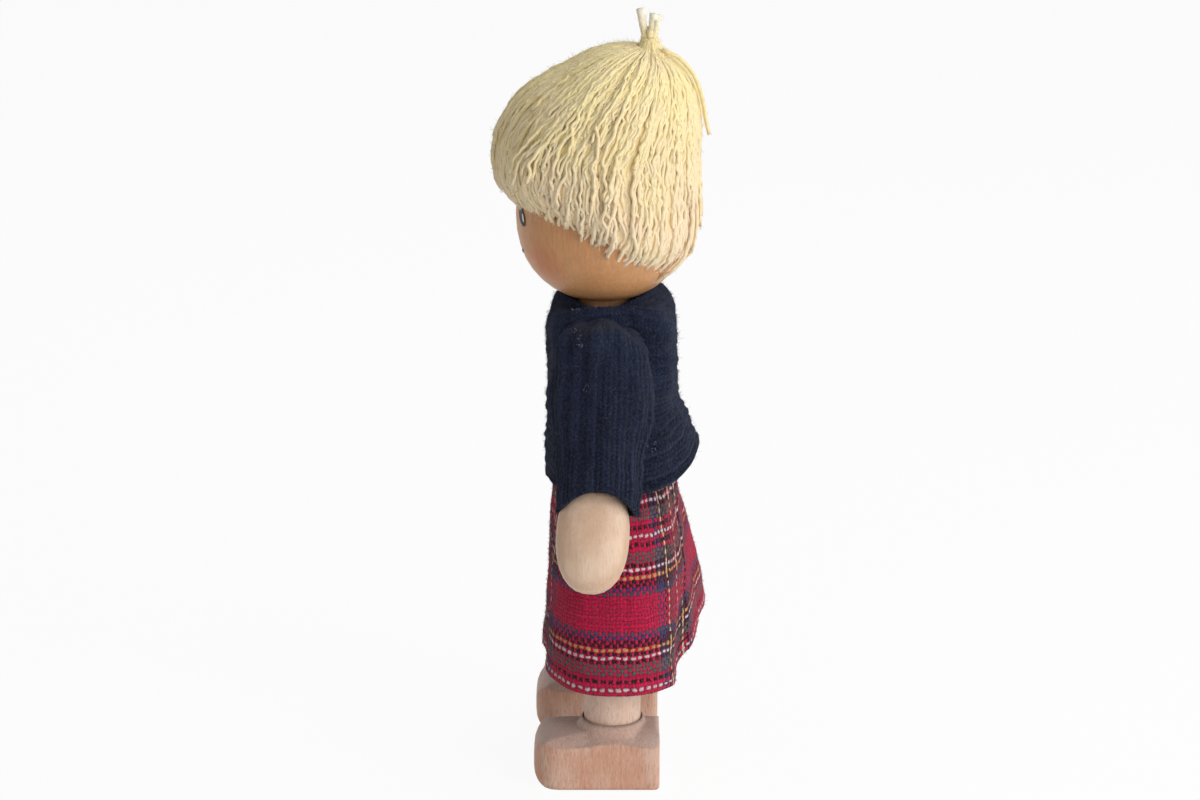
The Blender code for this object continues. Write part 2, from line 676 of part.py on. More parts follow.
def make_arm(name, side):
    shoulder = Vector((side * SHOULDER_X, NECK_Y, SHOULDER_HEIGHT))
    swing = pivot(name + "_shoulder", shoulder)
    lean = (-ARM_SWING, -side * ARM_LEAN, 0)
    points = []
    for k in range(ARC_STEPS + 2):
        turn = math.pi / 2 * k / (ARC_STEPS + 1)
        points.append((ARM_RADIUS * math.sin(turn), ARM_RADIUS * math.cos(turn)))
    points += [
        (ARM_RADIUS, -ARM_LENGTH),
        (TENON_DIAMETER / 2, -ARM_LENGTH),
        (TENON_DIAMETER / 2, -ARM_LENGTH - TENON_LENGTH + FIT),
        (0.0, -ARM_LENGTH - TENON_LENGTH + FIT),
    ]
    arm = turned(part(name + "_arm", profile(name + "_arm", points), BEECH, shoulder, lean, swing))
    cut_seat(arm, name + "_arm", side, shoulder, ARM_RADIUS)
    cut_peg_hole(arm, name + "_arm", side, shoulder, ARM_RADIUS)
    make_hand(name, side, shoulder, lean, swing)
    make_sleeve(name, side, shoulder, lean, swing)
    make_peg(name + "_shoulder_peg", side, -(SHOULDER_X - SHOULDER_WIDTH / 2), shoulder, ARM_RADIUS)


# Neck, head and hair

def head_profile(grow=0.0):
    """The head's half section, from the crown down. Growing it gives the space that the hair leaves."""
    points = []
    power = ELLIPSE / HEAD_SQUARENESS
    for k in range(HEAD_ROWS + 1):
        turn = math.pi * k / HEAD_ROWS
        radius = (HEAD_RADIUS + grow) * max(math.sin(turn), 0.0) ** power
        reach = (HEAD_CROWN if turn < math.pi / 2 else HEAD_CHIN) + grow
        height = math.copysign(reach * abs(math.cos(turn)) ** power, math.cos(turn))
        points.append((0.0 if k in (0, HEAD_ROWS) else radius, height))
    return points


def make_head():
    neck = TORSO_TOP - NECK_IN_TORSO
    bore_end = HEAD_LEVEL - BORE_RIM + NECK_IN_HEAD
    length = bore_end - FIT - neck
    part("neck_dowel", rod("neck_dowel", NECK_RADIUS, length), BEECH, (0, NECK_Y, neck + length / 2))
    middle = Vector((0, NECK_Y, HEAD_LEVEL))
    turn = pivot("neck", middle)
    head = turned(part("head", profile("head", head_profile()), HEAD_WOOD, middle, (0, 0, 0), turn))
    bore = rod("neck_bore", NECK_RADIUS + PEG_PLAY, 2 * NECK_IN_HEAD)
    boolean(head, cutter("neck_bore", bore, (0, NECK_Y, bore_end - NECK_IN_HEAD)))
    make_hair(middle, turn)


def hair_surface(direction):
    """Where the hair's outer surface lies, about its fullest level, for a direction on a unit ball."""
    x, y, z = direction
    if z > 0:
        height = HAIR_TOP - HAIR_BULGE_LEVEL
        drawn_back = CROWN_BACK * z ** CROWN_CURVE
        return Vector((x * HAIR_WIDTH / 2, y * HAIR_DEPTH / 2 + drawn_back, z * height))
    # Below the fullest level the strands hang almost straight
    around = math.hypot(x, y)
    fuller = (1 - abs(z) ** HAIR_HANG) ** (1 / HAIR_HANG) / around if around > MERGE else 0.0
    return Vector((x * fuller * HAIR_WIDTH / 2, y * fuller * HAIR_DEPTH / 2, z * HAIR_HEM_DEPTH))


def tucked(point):
    """Bends the hair in towards the head just above the cut."""
    slope = (point.y - FRINGE_END) / (NAPE_START - FRINGE_END)
    cut = mix(FRINGE_LEVEL, NAPE_LEVEL, min(max(slope, 0.0), 1.0)) - HAIR_BULGE_LEVEL
    near = min(max(1 - (point.z - cut) / HAIR_TUCK_HEIGHT, 0.0), 1.0)
    reach = max(math.hypot(point.x, point.y), HAIR_TUCK)
    pull = 1 - HAIR_TUCK * near ** HAIR_TUCK_CURVE / reach
    return Vector((point.x * pull, point.y * pull, point.z))


def make_hair(head_middle, turn):
    middle = head_middle + Vector((0, -HAIR_FORWARD, HAIR_BULGE_LEVEL))
    bm = bmesh.new()
    bmesh.ops.create_uvsphere(bm, u_segments=ROUND, v_segments=HAIR_ROWS, radius=1.0)
    for vert in bm.verts:
        vert.co = tucked(hair_surface(vert.co))
    hair = part("hair", mesh_of("hair", bm), YARN, middle, (0, 0, 0), turn)
    wide = 2 * HAIR_WIDTH
    low = -2 * HAIR_HEM_DEPTH
    cut = filleted((
        (-wide, low, FIT),
        (wide, low, FIT),
        (wide, NAPE_LEVEL, FIT),
        (NAPE_START, NAPE_LEVEL, HAIR_CUT_RADIUS),
        (FRINGE_END, FRINGE_LEVEL, HAIR_CUT_RADIUS),
        (-wide, FRINGE_LEVEL, FIT),
    ))
    hem = prism("hair_cut", cut, wide)
    hem.transform(SIDE_VIEW)
    boolean(hair, cutter("hair_cut", hem, head_middle + Vector((0, -HAIR_FORWARD, 0))))
    boolean(hair, turned(cutter("head_space", profile("head_space", head_profile(FIT)), head_middle)))
    make_tie(middle, turn)


def make_tie(hair_middle, turn):
    """The knot of the yarn that gathers the hair, with its cut ends standing up."""
    tilt = math.asin((TIE_BACK - CROWN_BACK) / (HAIR_DEPTH / 2))
    height = (HAIR_TOP - HAIR_BULGE_LEVEL) * math.cos(tilt)
    place = hair_middle + Vector((0, TIE_BACK, height + FIT + TIE_KNOT_RADIUS))
    bm = bmesh.new()
    bmesh.ops.create_uvsphere(bm, u_segments=PEG_ROUND, v_segments=STRAND_ROUND, radius=TIE_KNOT_RADIUS)
    tie = part("hair_tie", mesh_of("hair_tie", bm), YARN, place, (0, 0, 0), turn)
    for i, (sideways, backward) in enumerate(TIE_END_TILTS):
        name = f"tie_end_{i + 1}"
        up = Vector((math.sin(sideways), math.sin(backward), 1.0)).normalized()
        end = rod(name, TIE_STRAND_RADIUS, TIE_END_LENGTH, "Z", STRAND_ROUND)
        end.transform(up.to_track_quat("Z", "Y").to_matrix().to_4x4())
        boolean(tie, cutter(name, end, place + up * TIE_END_LENGTH / 2), "UNION")


# Skirt and sweater

def make_elastic():
    """The flat elastic that holds the skirt's gathers on the waist."""
    side = WAIST_WIDTH / 2 + FIT + ELASTIC_THICKNESS
    depth = WAIST_DEPTH / 2 + FIT + ELASTIC_THICKNESS
    around = [oval(a, side, depth, depth, TORSO_SQUARENESS) for a in angles(ROUND)]
    rings = [[(x, y, rise) for x, y in around] for rise in (WAIST_RISE, WAIST_RISE - ELASTIC_HEIGHT)]
    band = part("waist_elastic", loft("waist_elastic", rings), ELASTIC, (0, BODY_Y, HIP_HEIGHT))
    thicken(band, ELASTIC_THICKNESS)


def swells(table, angle):
    """The sum of a table's rounded swells at an angle, each with a direction, a half width and a height."""
    total = 0.0
    for direction, half_width, height in table:
        away = (math.degrees(angle) - direction + 180) % 360 - 180
        total += height * math.exp(-((away / half_width) ** 2))
    return total


def make_skirt():
    """Gathered into the elastic at the waist, full over the hips, and hanging in a few broad folds."""
    hip_side = HIP_X + LEG_RADIUS + SKIRT_HIP_EASE + SKIRT_CLOTH
    waist_side = WAIST_WIDTH / 2 + WAIST_STACK
    waist_depth = WAIST_DEPTH / 2 + WAIST_STACK
    rings = []
    for i in range(SKIRT_ROWS + 1):
        share = i / SKIRT_ROWS
        front = mix(waist_depth, SKIRT_HEM_FRONT, share)
        back = mix(waist_depth, SKIRT_HEM_BACK, share)
        ring = []
        for a in angles(SKIRT_COLUMNS):
            hem = SKIRT_HEM_HEIGHT + swells(SKIRT_RISES, a)
            z = mix(SKIRT_WAIST_HEIGHT, hem, share)
            if z > HIP_HEIGHT:
                side = mix(waist_side, hip_side, (SKIRT_WAIST_HEIGHT - z) / WAIST_RISE)
            else:
                side = mix(hip_side, SKIRT_HEM_WIDTH / 2, (HIP_HEIGHT - z) / (HIP_HEIGHT - hem))
            x, y = oval(a, side, front, back, SKIRT_SQUARENESS)
            out = 1 + swells(SKIRT_FOLDS, a) * smoothstep(share) / math.hypot(x, y)
            ring.append((x * out, y * out, z))
        rings.append(ring)
    skirt = part("skirt", loft("skirt", rings), TARTAN, (0, BODY_Y, 0))
    thicken(skirt, SKIRT_CLOTH)


def neckband_point(angle, beyond=0.0):
    """A point on the neckband's middle line, or a given way outside it. It dips at the sides of the neck."""
    x, y = oval(angle, NECKLINE_SIDE + beyond, NECKLINE_FRONT + beyond, NECKLINE_BACK + beyond, ELLIPSE)
    reach = NECKLINE_BACK if math.sin(angle) > 0 else NECKLINE_FRONT
    top = HEAD_LEVEL - head_underside(reach + NECKBAND_RADIUS) - NECKBAND_UNDER_HEAD
    low = HEAD_LEVEL - head_underside(NECKLINE_SIDE + NECKBAND_RADIUS) - NECKBAND_UNDER_HEAD - NECKLINE_DIP
    return x, y + NECK_Y, mix(low, top, math.sin(angle) ** 2) - NECKBAND_RADIUS


def sweater_rings(inset):
    """Rings from the neckline down to the hem. The neckline dips at the sides."""
    waist_depth = WAIST_DEPTH / 2 + WAIST_STACK + CLOTH_GAP + KNIT - inset
    hem_side = SWEATER_HEM_SIDE - inset
    hem_front = waist_depth + SWEATER_HEM_FRONT_EASE
    hem_back = waist_depth + SWEATER_HEM_BACK_EASE
    around = angles(SWEATER_COLUMNS)
    neckline = []
    for a in around:
        x, y, z = neckband_point(a, KNIT / 2 - inset)
        neckline.append((x, y - BODY_Y, z - HIP_HEIGHT - NECKBAND_RADIUS - FIT))
    rings = [neckline]
    rows = [(*row, 0.0) for row in SHOULDER_FALL]
    rows += [(*SHOULDER_FALL[-1], (i + 1) / SWEATER_ROWS) for i in range(SWEATER_ROWS)]
    for spread, side_fall, middle_fall, share in rows:
        lying = 4 * spread * (1 - spread)  # 1 where the knit lies flat on the shoulder
        ring = []
        for a, (neck_x, neck_y, neck_z) in zip(around, neckline):
            fall = SWEATER_YOKE * mix(side_fall, middle_fall, math.sin(a) ** 2)
            rise = neck_z - fall - inset * lying
            hem_rise = SWEATER_HEM_RISE + SWEATER_BACK_RISE * max(math.sin(a), 0.0) ** SWEATER_BACK_CURVE
            rise = mix(rise, hem_rise, share)
            torso_depth = torso_half(rise)[1]
            flare = smoothstep((CHEST_RISE - rise) / (CHEST_RISE - hem_rise))
            side = mix(SWEATER_SIDE - inset, hem_side, flare)
            front = mix(torso_depth + SWEATER_FRONT_EASE + KNIT - inset, hem_front, flare)
            back = mix(torso_depth + SWEATER_BACK_EASE + KNIT - inset, hem_back, flare)
            x, y = oval(a, side, front, back, SWEATER_SQUARENESS)
            ring.append((mix(neck_x, x, spread), mix(neck_y, y, spread), rise))
        rings.append(ring)
    return rings


def make_sweater():
    rings = sweater_rings(0.0) + sweater_rings(KNIT)[::-1]
    mesh = loft("sweater_body", rings, looped=True)
    body = part("sweater_body", mesh, KNITWEAR, (0, BODY_Y, HIP_HEIGHT))
    soften(body)
    for name, side in SIDES:
        hole = rod(name + "_armhole", ARM_RADIUS + ARMHOLE_EASE, 2 * ARM_DIAMETER, "X")
        boolean(body, cutter(name + "_armhole", hole, (side * SHOULDER_X, NECK_Y, SHOULDER_HEIGHT)))
    curve = bpy.data.curves.new("sweater_neckband", "CURVE")
    curve.dimensions = "3D"
    curve.bevel_depth = NECKBAND_RADIUS
    curve.bevel_resolution = 2
    spline = curve.splines.new("POLY")
    spline.points.add(ROUND - 1)
    for point, a in zip(spline.points, angles(ROUND)):
        point.co = (*neckband_point(a), 1.0)
    spline.use_cyclic_u = True
    curve.materials.append(KNITWEAR)
    band = bpy.data.objects.new("sweater_neckband", curve)
    PARTS.objects.link(band)


make_torso()
for side_name, side_sign in SIDES:
    make_leg(side_name, side_sign)
    make_arm(side_name, side_sign)
make_head()
make_elastic()
make_skirt()
make_sweater()
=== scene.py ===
"""The looks of the wooden doll: yarn hair, rib knit, tartan, grained wood and a painted face.

Sizes and points are in millimetres in the row frame, and mesh_object turns points into metres.
"""

import math
import random

import bpy
import numpy as np
from mathutils import Euler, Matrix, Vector, noise


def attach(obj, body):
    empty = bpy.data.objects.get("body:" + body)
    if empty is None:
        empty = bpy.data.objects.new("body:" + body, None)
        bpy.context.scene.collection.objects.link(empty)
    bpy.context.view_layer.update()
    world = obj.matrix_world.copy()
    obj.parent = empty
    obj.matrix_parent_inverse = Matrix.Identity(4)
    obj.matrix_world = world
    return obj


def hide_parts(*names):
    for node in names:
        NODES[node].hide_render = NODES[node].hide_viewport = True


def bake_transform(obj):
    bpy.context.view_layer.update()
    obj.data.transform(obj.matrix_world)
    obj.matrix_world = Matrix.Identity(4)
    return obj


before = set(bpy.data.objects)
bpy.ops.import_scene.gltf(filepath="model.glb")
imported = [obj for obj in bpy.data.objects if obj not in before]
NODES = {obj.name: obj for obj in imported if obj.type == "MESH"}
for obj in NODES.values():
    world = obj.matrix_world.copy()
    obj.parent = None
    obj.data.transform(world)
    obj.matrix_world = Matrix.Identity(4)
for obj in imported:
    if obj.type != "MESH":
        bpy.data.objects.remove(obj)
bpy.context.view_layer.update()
SIDES = (("left", 1), ("right", -1))
MM = 0.001
TAU = 2 * math.pi
TINY = 1e-9
CLOTH_UV = "cloth"

# Sizes repeated from the CAD source
BODY_Y = 2.2
NECK_Y = 0.6
HIP = 43.0
SHOULDER = (14.1, NECK_Y, 79.0)
SHOULDER_FLAT = 11.3
ARM_LEAN = math.radians(15.5)
ARM_SWING = math.radians(3.3)
LEG_LEAN = math.radians(4.5)
HEAD = np.array((0.0, NECK_Y, 99.62))
HEAD_RADIUS = 15.25
HEAD_CROWN = 19.5
HEAD_CHIN = 15.2
HEAD_SQUARENESS = 2.2
HAIR = HEAD + (0.0, -1.1, 12.5)
TIE = np.array((0.0, 8.5, 129.0))
KNIT = 0.9

# The knit's columns of stitches, and the stitches along them
COLUMN = 0.95
STITCH = 0.8

# Single fibres: points along one and round it, its bend, its tip's and the shortest's share, its rise
FIBRE_STEPS = 3
FIBRE_SIDES = 3
FIBRE_BEND = 0.35
FIBRE_TIP = 0.5
FIBRE_SHORTEST = 0.4
FIBRE_RISE = (0.1, 0.7)


# Arithmetic on points

def turns(count):
    """Angles once round, in equal steps."""
    return TAU * np.arange(count) / count


def between(start, end, share):
    return start + (end - start) * share


def smoothstep(x):
    """0 up to 0, 1 from 1 on, and a soft rise between."""
    x = np.clip(x, 0.0, 1.0)
    return x * x * (3 - 2 * x)


def xyz(x, y, z):
    """Points from their coordinates, any of which may be a single number."""
    return np.stack(np.broadcast_arrays(x, y, z), -1)


def unit(vectors):
    return vectors / np.maximum(np.linalg.norm(vectors, axis=-1, keepdims=True), TINY)


def square_to(axis, vectors):
    """The unit vectors at right angles to unit axes that are nearest to the vectors given."""
    return unit(vectors - axis * (vectors * axis).sum(-1, keepdims=True))


def distances(rows):
    """How far down each row of points is on average, or how far along each point of a line."""
    step = np.linalg.norm(np.diff(rows, axis=0), axis=-1)
    return np.concatenate([[0], np.cumsum(step.reshape(len(step), -1).mean(axis=1))])


def normals(points, wrap=True):
    """Outward normals of rows of points that run from the top down and turn left round +Z."""
    down = np.gradient(points, axis=0)
    if wrap:
        around = np.roll(points, -1, axis=1) - np.roll(points, 1, axis=1)
    else:
        around = np.gradient(points, axis=1)
    return unit(np.cross(down, around))


def smooth_noise(points, size, seed):
    """Noise from -1 to 1 at each point, with features of about the given size."""
    seed_step = 17.3
    flat = points.reshape(-1, 3) / size + seed * seed_step
    return np.array([noise.noise(Vector(p)) for p in flat]).reshape(points.shape[:-1])


def oval(angle, side, front, back, squareness):
    """Points at angles of an oval with its own half widths to the sides, the front and the back."""
    across, along = np.cos(angle), np.sin(angle)
    depth = np.where(along > 0, back, front)
    reach = (np.abs(across / side) ** squareness + np.abs(along / depth) ** squareness) ** (-1 / squareness)
    return across * reach, along * reach


def curve_rows(rows, count):
    """Points or rows of points resampled to more, on smooth curves through them."""
    rows = np.asarray(rows, float)
    padded = np.concatenate([2 * rows[:1] - rows[1:2], rows, 2 * rows[-1:] - rows[-2:-1]])
    at = np.linspace(0, len(rows) - 1, count)
    k = np.minimum(at.astype(int), len(rows) - 2)
    t = (at - k).reshape(-1, *(1,) * (rows.ndim - 1))
    a, b, c, d = (padded[k + n] for n in range(4))
    bend = (2 * a - 5 * b + 4 * c - d) * t ** 2
    twist = (3 * b - a - 3 * c + d) * t ** 3
    return 0.5 * (2 * b + (c - a) * t + bend + twist)


# Meshes

def mesh_object(name, points, faces, finish, uv=None):
    """A smooth mesh from points, arrays of faces and one (u, v) for each face corner."""
    points = np.asarray(points, float).reshape(-1, 3) * MM
    faces = [np.asarray(f, np.int32) for f in faces if len(f)]
    corners = np.concatenate([f.ravel() for f in faces])
    sizes = np.concatenate([np.full(len(f), f.shape[1]) for f in faces])
    starts = np.concatenate([[0], np.cumsum(sizes)[:-1]])
    mesh = bpy.data.meshes.new(name)
    mesh.vertices.add(len(points))
    mesh.vertices.foreach_set("co", points.astype(np.float32).ravel())
    mesh.loops.add(len(corners))
    mesh.loops.foreach_set("vertex_index", corners.astype(np.int32))
    mesh.polygons.add(len(sizes))
    mesh.polygons.foreach_set("loop_start", starts.astype(np.int32))
    mesh.update(calc_edges=True)
    if uv is not None:
        places = np.concatenate([np.asarray(t).reshape(-1) for t in uv])
        mesh.uv_layers.new(name=CLOTH_UV).data.foreach_set("uv", places.astype(np.float32))
    mesh.validate()
    mesh.shade_smooth()
    mesh.materials.append(finish)
    made = bpy.data.objects.new(name, mesh)
    bpy.context.scene.collection.objects.link(made)
    return made


def grid(points, u, v, wrap=True, looped=False):
    """Quads over rows of points, and the (u, v) of their corners.

    Rows close round if wrap, with one more u than points, and the last row joins the first if looped.
    """
    rows, columns = points.shape[:2]
    u = np.broadcast_to(u, (rows, columns + wrap))
    v = np.broadcast_to(v, (rows, columns))
    i, j = np.meshgrid(np.arange(rows - 1 + looped), np.arange(columns - 1 + wrap), indexing="ij")
    row = np.stack([i, i + 1, i + 1, i], -1).reshape(-1, 4) % rows
    column = np.stack([j, j, j + 1, j + 1], -1).reshape(-1, 4)
    quads = row * columns + column % columns
    return quads, np.stack([u[row, column], v[row, column % columns]], -1)


def surface(name, points, u, v, finish, wrap=True, looped=False):
    quads, uv = grid(points, u, v, wrap, looped)
    return mesh_object(name, points, [quads], finish, [uv])


def dress(piece, body, node=None):
    """Fixes a piece to a body, and hides the node that it replaces if it does."""
    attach(piece, body)
    if node:
        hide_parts(node)


class Tubes:
    """Round strands in one mesh. u runs round a strand from 0 to 1, and v along it.

    FIRST_SIDE is a direction that no strand starts in.
    """

    FIRST_SIDE = (0.31, 0.87, 0.39)

    def __init__(self):
        self.points, self.out = [], []
        self.quads, self.uv = [], []
        self.caps, self.cap_uv = [], []
        self.count = 0

    def add(self, line, radius, sides, shift=0.0):
        n = len(line)
        radius = np.broadcast_to(radius, (n,))
        ahead = unit(np.gradient(line, axis=0))
        side = np.cross(ahead[0], self.FIRST_SIDE)
        frames = []
        for t in ahead:
            side = square_to(t, side)
            frames.append((side, np.cross(t, side)))
        turn = turns(sides)[:, None]
        out = np.array([np.cos(turn) * a + np.sin(turn) * b for a, b in frames])
        ring = line[:, None] + radius[:, None, None] * out
        along = distances(line) + shift
        quads, uv = grid(ring, np.arange(sides + 1) / sides, along[:, None])
        self.quads.append(quads[:, ::-1] + self.count)
        self.uv.append(uv[:, ::-1])
        for k, order in ((0, -1), (n - 1, 1)):
            self.caps.append((np.arange(sides) + k * sides + self.count)[::order])
            self.cap_uv.append(np.tile((0.5, along[k]), (sides, 1)))
        self.points.append(ring.reshape(-1, 3))
        self.out.append(out.reshape(-1, 3))
        self.count += n * sides

    def made(self, name, finish):
        faces = [np.concatenate(self.quads), np.array(self.caps)]
        uv = [np.concatenate(self.uv), np.concatenate(self.cap_uv)]
        return mesh_object(name, np.concatenate(self.points), faces, finish, uv)


def fuzz(name, points, out, count, length, radius, finish, rise=FIBRE_RISE):
    """Fine fibres that leave a surface at random among its points, lie over by their rise and curl."""
    rng = np.random.default_rng(count)
    at = rng.integers(0, len(points), count)
    up = out[at]
    lie = square_to(up, rng.normal(size=(count, 3)))
    ahead = unit(lie + up * rng.uniform(*rise, (count, 1)))
    bend = FIBRE_BEND * rng.normal(size=(count, 1, 3))
    reach = length * rng.uniform(FIBRE_SHORTEST, 1.0, (count, 1, 1))
    t = np.linspace(0, 1, FIBRE_STEPS)[None, :, None]
    line = points[at][:, None] + reach * (t * ahead[:, None] + t ** 2 * bend)
    side = unit(np.cross(ahead, up))
    turn = turns(FIBRE_SIDES)[:, None]
    ring = np.cos(turn) * side[:, None] + np.sin(turn) * np.cross(side, ahead)[:, None]
    taper = radius * np.linspace(1.0, FIBRE_TIP, FIBRE_STEPS)[None, :, None, None]
    skin = line[:, :, None] + taper * ring[:, None]
    index = np.arange(count * FIBRE_STEPS * FIBRE_SIDES).reshape(count, FIBRE_STEPS, FIBRE_SIDES)
    low, high = index[:, :-1], index[:, 1:]
    quads = np.stack([high, np.roll(high, -1, axis=2), np.roll(low, -1, axis=2), low], -1)
    caps = np.concatenate([index[:, 0], index[:, -1, ::-1]])
    return mesh_object(name, skin, [quads.reshape(-1, 4), caps], finish)


# Materials

def rgb(red, green, blue):
    """A colour in 0 to 255 as the eye sees it, for a shader, by the sRGB curve."""
    def one(c):
        c /= 255
        return c / 12.92 if c <= 0.04045 else ((c + 0.055) / 1.055) ** 2.4
    return (one(red), one(green), one(blue), 1.0)


class Graph:
    """Short ways to add nodes to a node tree."""

    def __init__(self, tree):
        self.tree = tree
        self.link = tree.links.new

    def node(self, kind, inputs=(), **settings):
        made = self.tree.nodes.new("ShaderNode" + kind)
        for key, value in settings.items():
            setattr(made, key, value)
        for key, value in dict(inputs).items():
            if isinstance(value, bpy.types.NodeSocket):
                self.link(value, made.inputs[key])
            else:
                made.inputs[key].default_value = value
        return made

    def math(self, operation, a, b=0.0, c=0.0, clamp=False):
        made = self.node("Math", {0: a, 1: b, 2: c}, operation=operation, use_clamp=clamp)
        return made.outputs[0]

    def times(self, a, b):
        return self.math("MULTIPLY", a, b)

    def scaled(self, a, factor, more, clamp=False):
        return self.math("MULTIPLY_ADD", a, factor, more, clamp)

    def minus(self, a, b):
        return self.math("SUBTRACT", a, b)

    def vector(self, operation, *values):
        made = self.node("VectorMath", dict(enumerate(values)), operation=operation)
        return made.outputs["Value" if operation == "DISTANCE" else "Vector"]

    def split(self, vector):
        return self.node("SeparateXYZ", {0: vector}).outputs

    def cloth_uv(self):
        return self.node("UVMap", uv_map=CLOTH_UV).outputs["UV"]

    def object_mm(self, along=1.0, turn=(0, 0, 0), shift=(0, 0, 0)):
        """Object coordinates in millimetres, turned, moved, and scaled along the grain."""
        where = self.node("TexCoord").outputs["Object"]
        scale = (1 / MM, 1 / MM, along / MM)
        inputs = {"Vector": where, "Location": shift, "Rotation": turn, "Scale": scale}
        return self.node("Mapping", inputs).outputs["Vector"]

    def noise(self, scale, detail=2.0, roughness=0.5, distortion=0.0, **mapping):
        """Noise in the object, with its scale as features in a millimetre."""
        inputs = {"Scale": scale, "Detail": detail, "Roughness": roughness, "Distortion": distortion}
        inputs["Vector"] = self.object_mm(**mapping)
        return self.node("TexNoise", inputs).outputs["Fac"]

    def cloth_noise(self, uv, scale):
        return self.node("TexNoise", {"Vector": uv, "Scale": scale, "Detail": 2.0}).outputs

    def each(self, count):
        """A random value from 0 to 1 for each whole number."""
        return self.node("TexWhiteNoise", {"W": count}, noise_dimensions="1D").outputs["Value"]

    def bands(self, value, stops):
        """Plain bands of colour, each from its place on."""
        made = self.node("ValToRGB", {"Fac": value})
        made.color_ramp.interpolation = "CONSTANT"
        elements = made.color_ramp.elements
        while len(elements) > 1:
            elements.remove(elements[0])
        elements[0].position, elements[0].color = stops[0]
        for place, colour in stops[1:]:
            elements.new(place).color = colour
        return made.outputs["Color"]

    def mix(self, share, a, b):
        return self.node("Mix", {0: share, 6: a, 7: b}, data_type="RGBA").outputs[2]

    def remap(self, value, low, high, to_low=0.0, to_high=1.0):
        inputs = {"Value": value, "From Min": low, "From Max": high, "To Min": to_low, "To Max": to_high}
        return self.node("MapRange", inputs).outputs["Result"]

    def rounded(self, radius, samples):
        """Normals that round off the edges."""
        return self.node("Bevel", {"Radius": radius * MM}, samples=samples).outputs[0]

    def seen_directly(self):
        """1 for rays from the camera, by way of a gloss or clear things too, and 0 for other light."""
        ray = self.node("LightPath").outputs
        glossy = self.math("MAXIMUM", ray["Is Camera Ray"], ray["Is Glossy Ray"])
        return self.math("MAXIMUM", glossy, ray["Is Transmission Ray"])


class Look(Graph):
    """A material with one shader."""

    def __init__(self, name, roughness, specular, sheen=0.0):
        self.material = bpy.data.materials.new(name)
        self.material.use_nodes = True
        super().__init__(self.material.node_tree)
        self.shader = self.tree.nodes["Principled BSDF"]
        uniform = {"Roughness": roughness, "Specular IOR Level": specular, "Sheen Weight": sheen}
        for key, value in uniform.items():
            self.shader.inputs[key].default_value = value

    def tint(self, tone, share, value, none_at, full_at, within=None):
        """Mixes a tone into the colour: none where the value is none_at, and the share at full_at."""
        part = self.remap(value, none_at, full_at, 0.0, share)
        if within is not None:
            part = self.times(part, within)
        self.colour = self.mix(part, self.colour, tone)

    def finish(self, height=None, depth=0.0, strength=1.0, roughness=None, rounded=None):
        """Joins the colour, a relief of some depth, a roughness and rounded normals to the shader."""
        self.link(self.colour, self.shader.inputs["Base Color"])
        if height is not None:
            relief = {"Height": height, "Distance": depth * MM, "Strength": strength}
            bump = self.node("Bump", relief)
            self.link(bump.outputs["Normal"], self.shader.inputs["Normal"])
            if rounded is not None:
                self.link(rounded, bump.inputs["Normal"])
        if roughness is not None:
            self.link(roughness, self.shader.inputs["Roughness"])
        return self.material


def beech(name, lean, pith, tones, fleck, figure=0.1, greyed=0.0):
    """Sanded beech: growth rings round a pith, fine fibres, and short flecks along the grain.

    figure is the rings' strength, and the last argument the share of grey painted shade on faces that look
    up.
    """
    pale, ruddy, dark = tones
    grey_top_shade = rgb(184, 162, 154)
    g = Look(name, 0.55, specular=0.35)
    turn = (0, lean, 0)
    x, y, _ = g.split(g.object_mm(turn=turn, shift=(*pith, 0)))
    radius = g.math("SQRT", g.math("ADD", g.math("POWER", x, 2.0), g.math("POWER", y, 2.0)))
    wander = g.noise(0.09, along=0.25, turn=turn)
    rings = g.math("SINE", g.scaled(wander, 9.0, g.times(radius, 1.9)))
    fibres = g.noise(2.6, 4.0, 0.65, along=0.08, turn=turn)
    flecks = g.noise(3.2, 2.0, 0.6, along=0.22, turn=turn)
    nap = g.noise(2.4, 3.0, 0.75, along=0.2, turn=turn)
    blotch = g.noise(0.16, along=0.6, turn=turn)
    tone = g.scaled(rings, figure, g.remap(fibres, 0.3, 0.7, 0.1, 0.6), clamp=True)
    g.colour = g.mix(tone, pale, ruddy)
    g.tint(ruddy, 0.8, blotch, 0.42, 0.62)
    rounded = g.rounded(0.9, 6)
    spaces = {"vector_type": "NORMAL", "convert_from": "WORLD", "convert_to": "OBJECT"}
    facing = g.node("VectorTransform", {0: rounded}, **spaces)
    upward = g.split(facing.outputs[0])[2]
    # Painted shade: grey on faces that look up
    g.tint(grey_top_shade, greyed, upward, 0.05, 0.85)
    g.tint(pale, fleck, nap, 0.5, 0.36)
    g.tint(dark, fleck, flecks, 0.52, 0.66)
    height = g.scaled(flecks, -0.6, g.math("ADD", fibres, nap))
    return g.finish(height, 0.07, 0.6, g.remap(fibres, 0.3, 0.7, 0.48, 0.62), rounded)


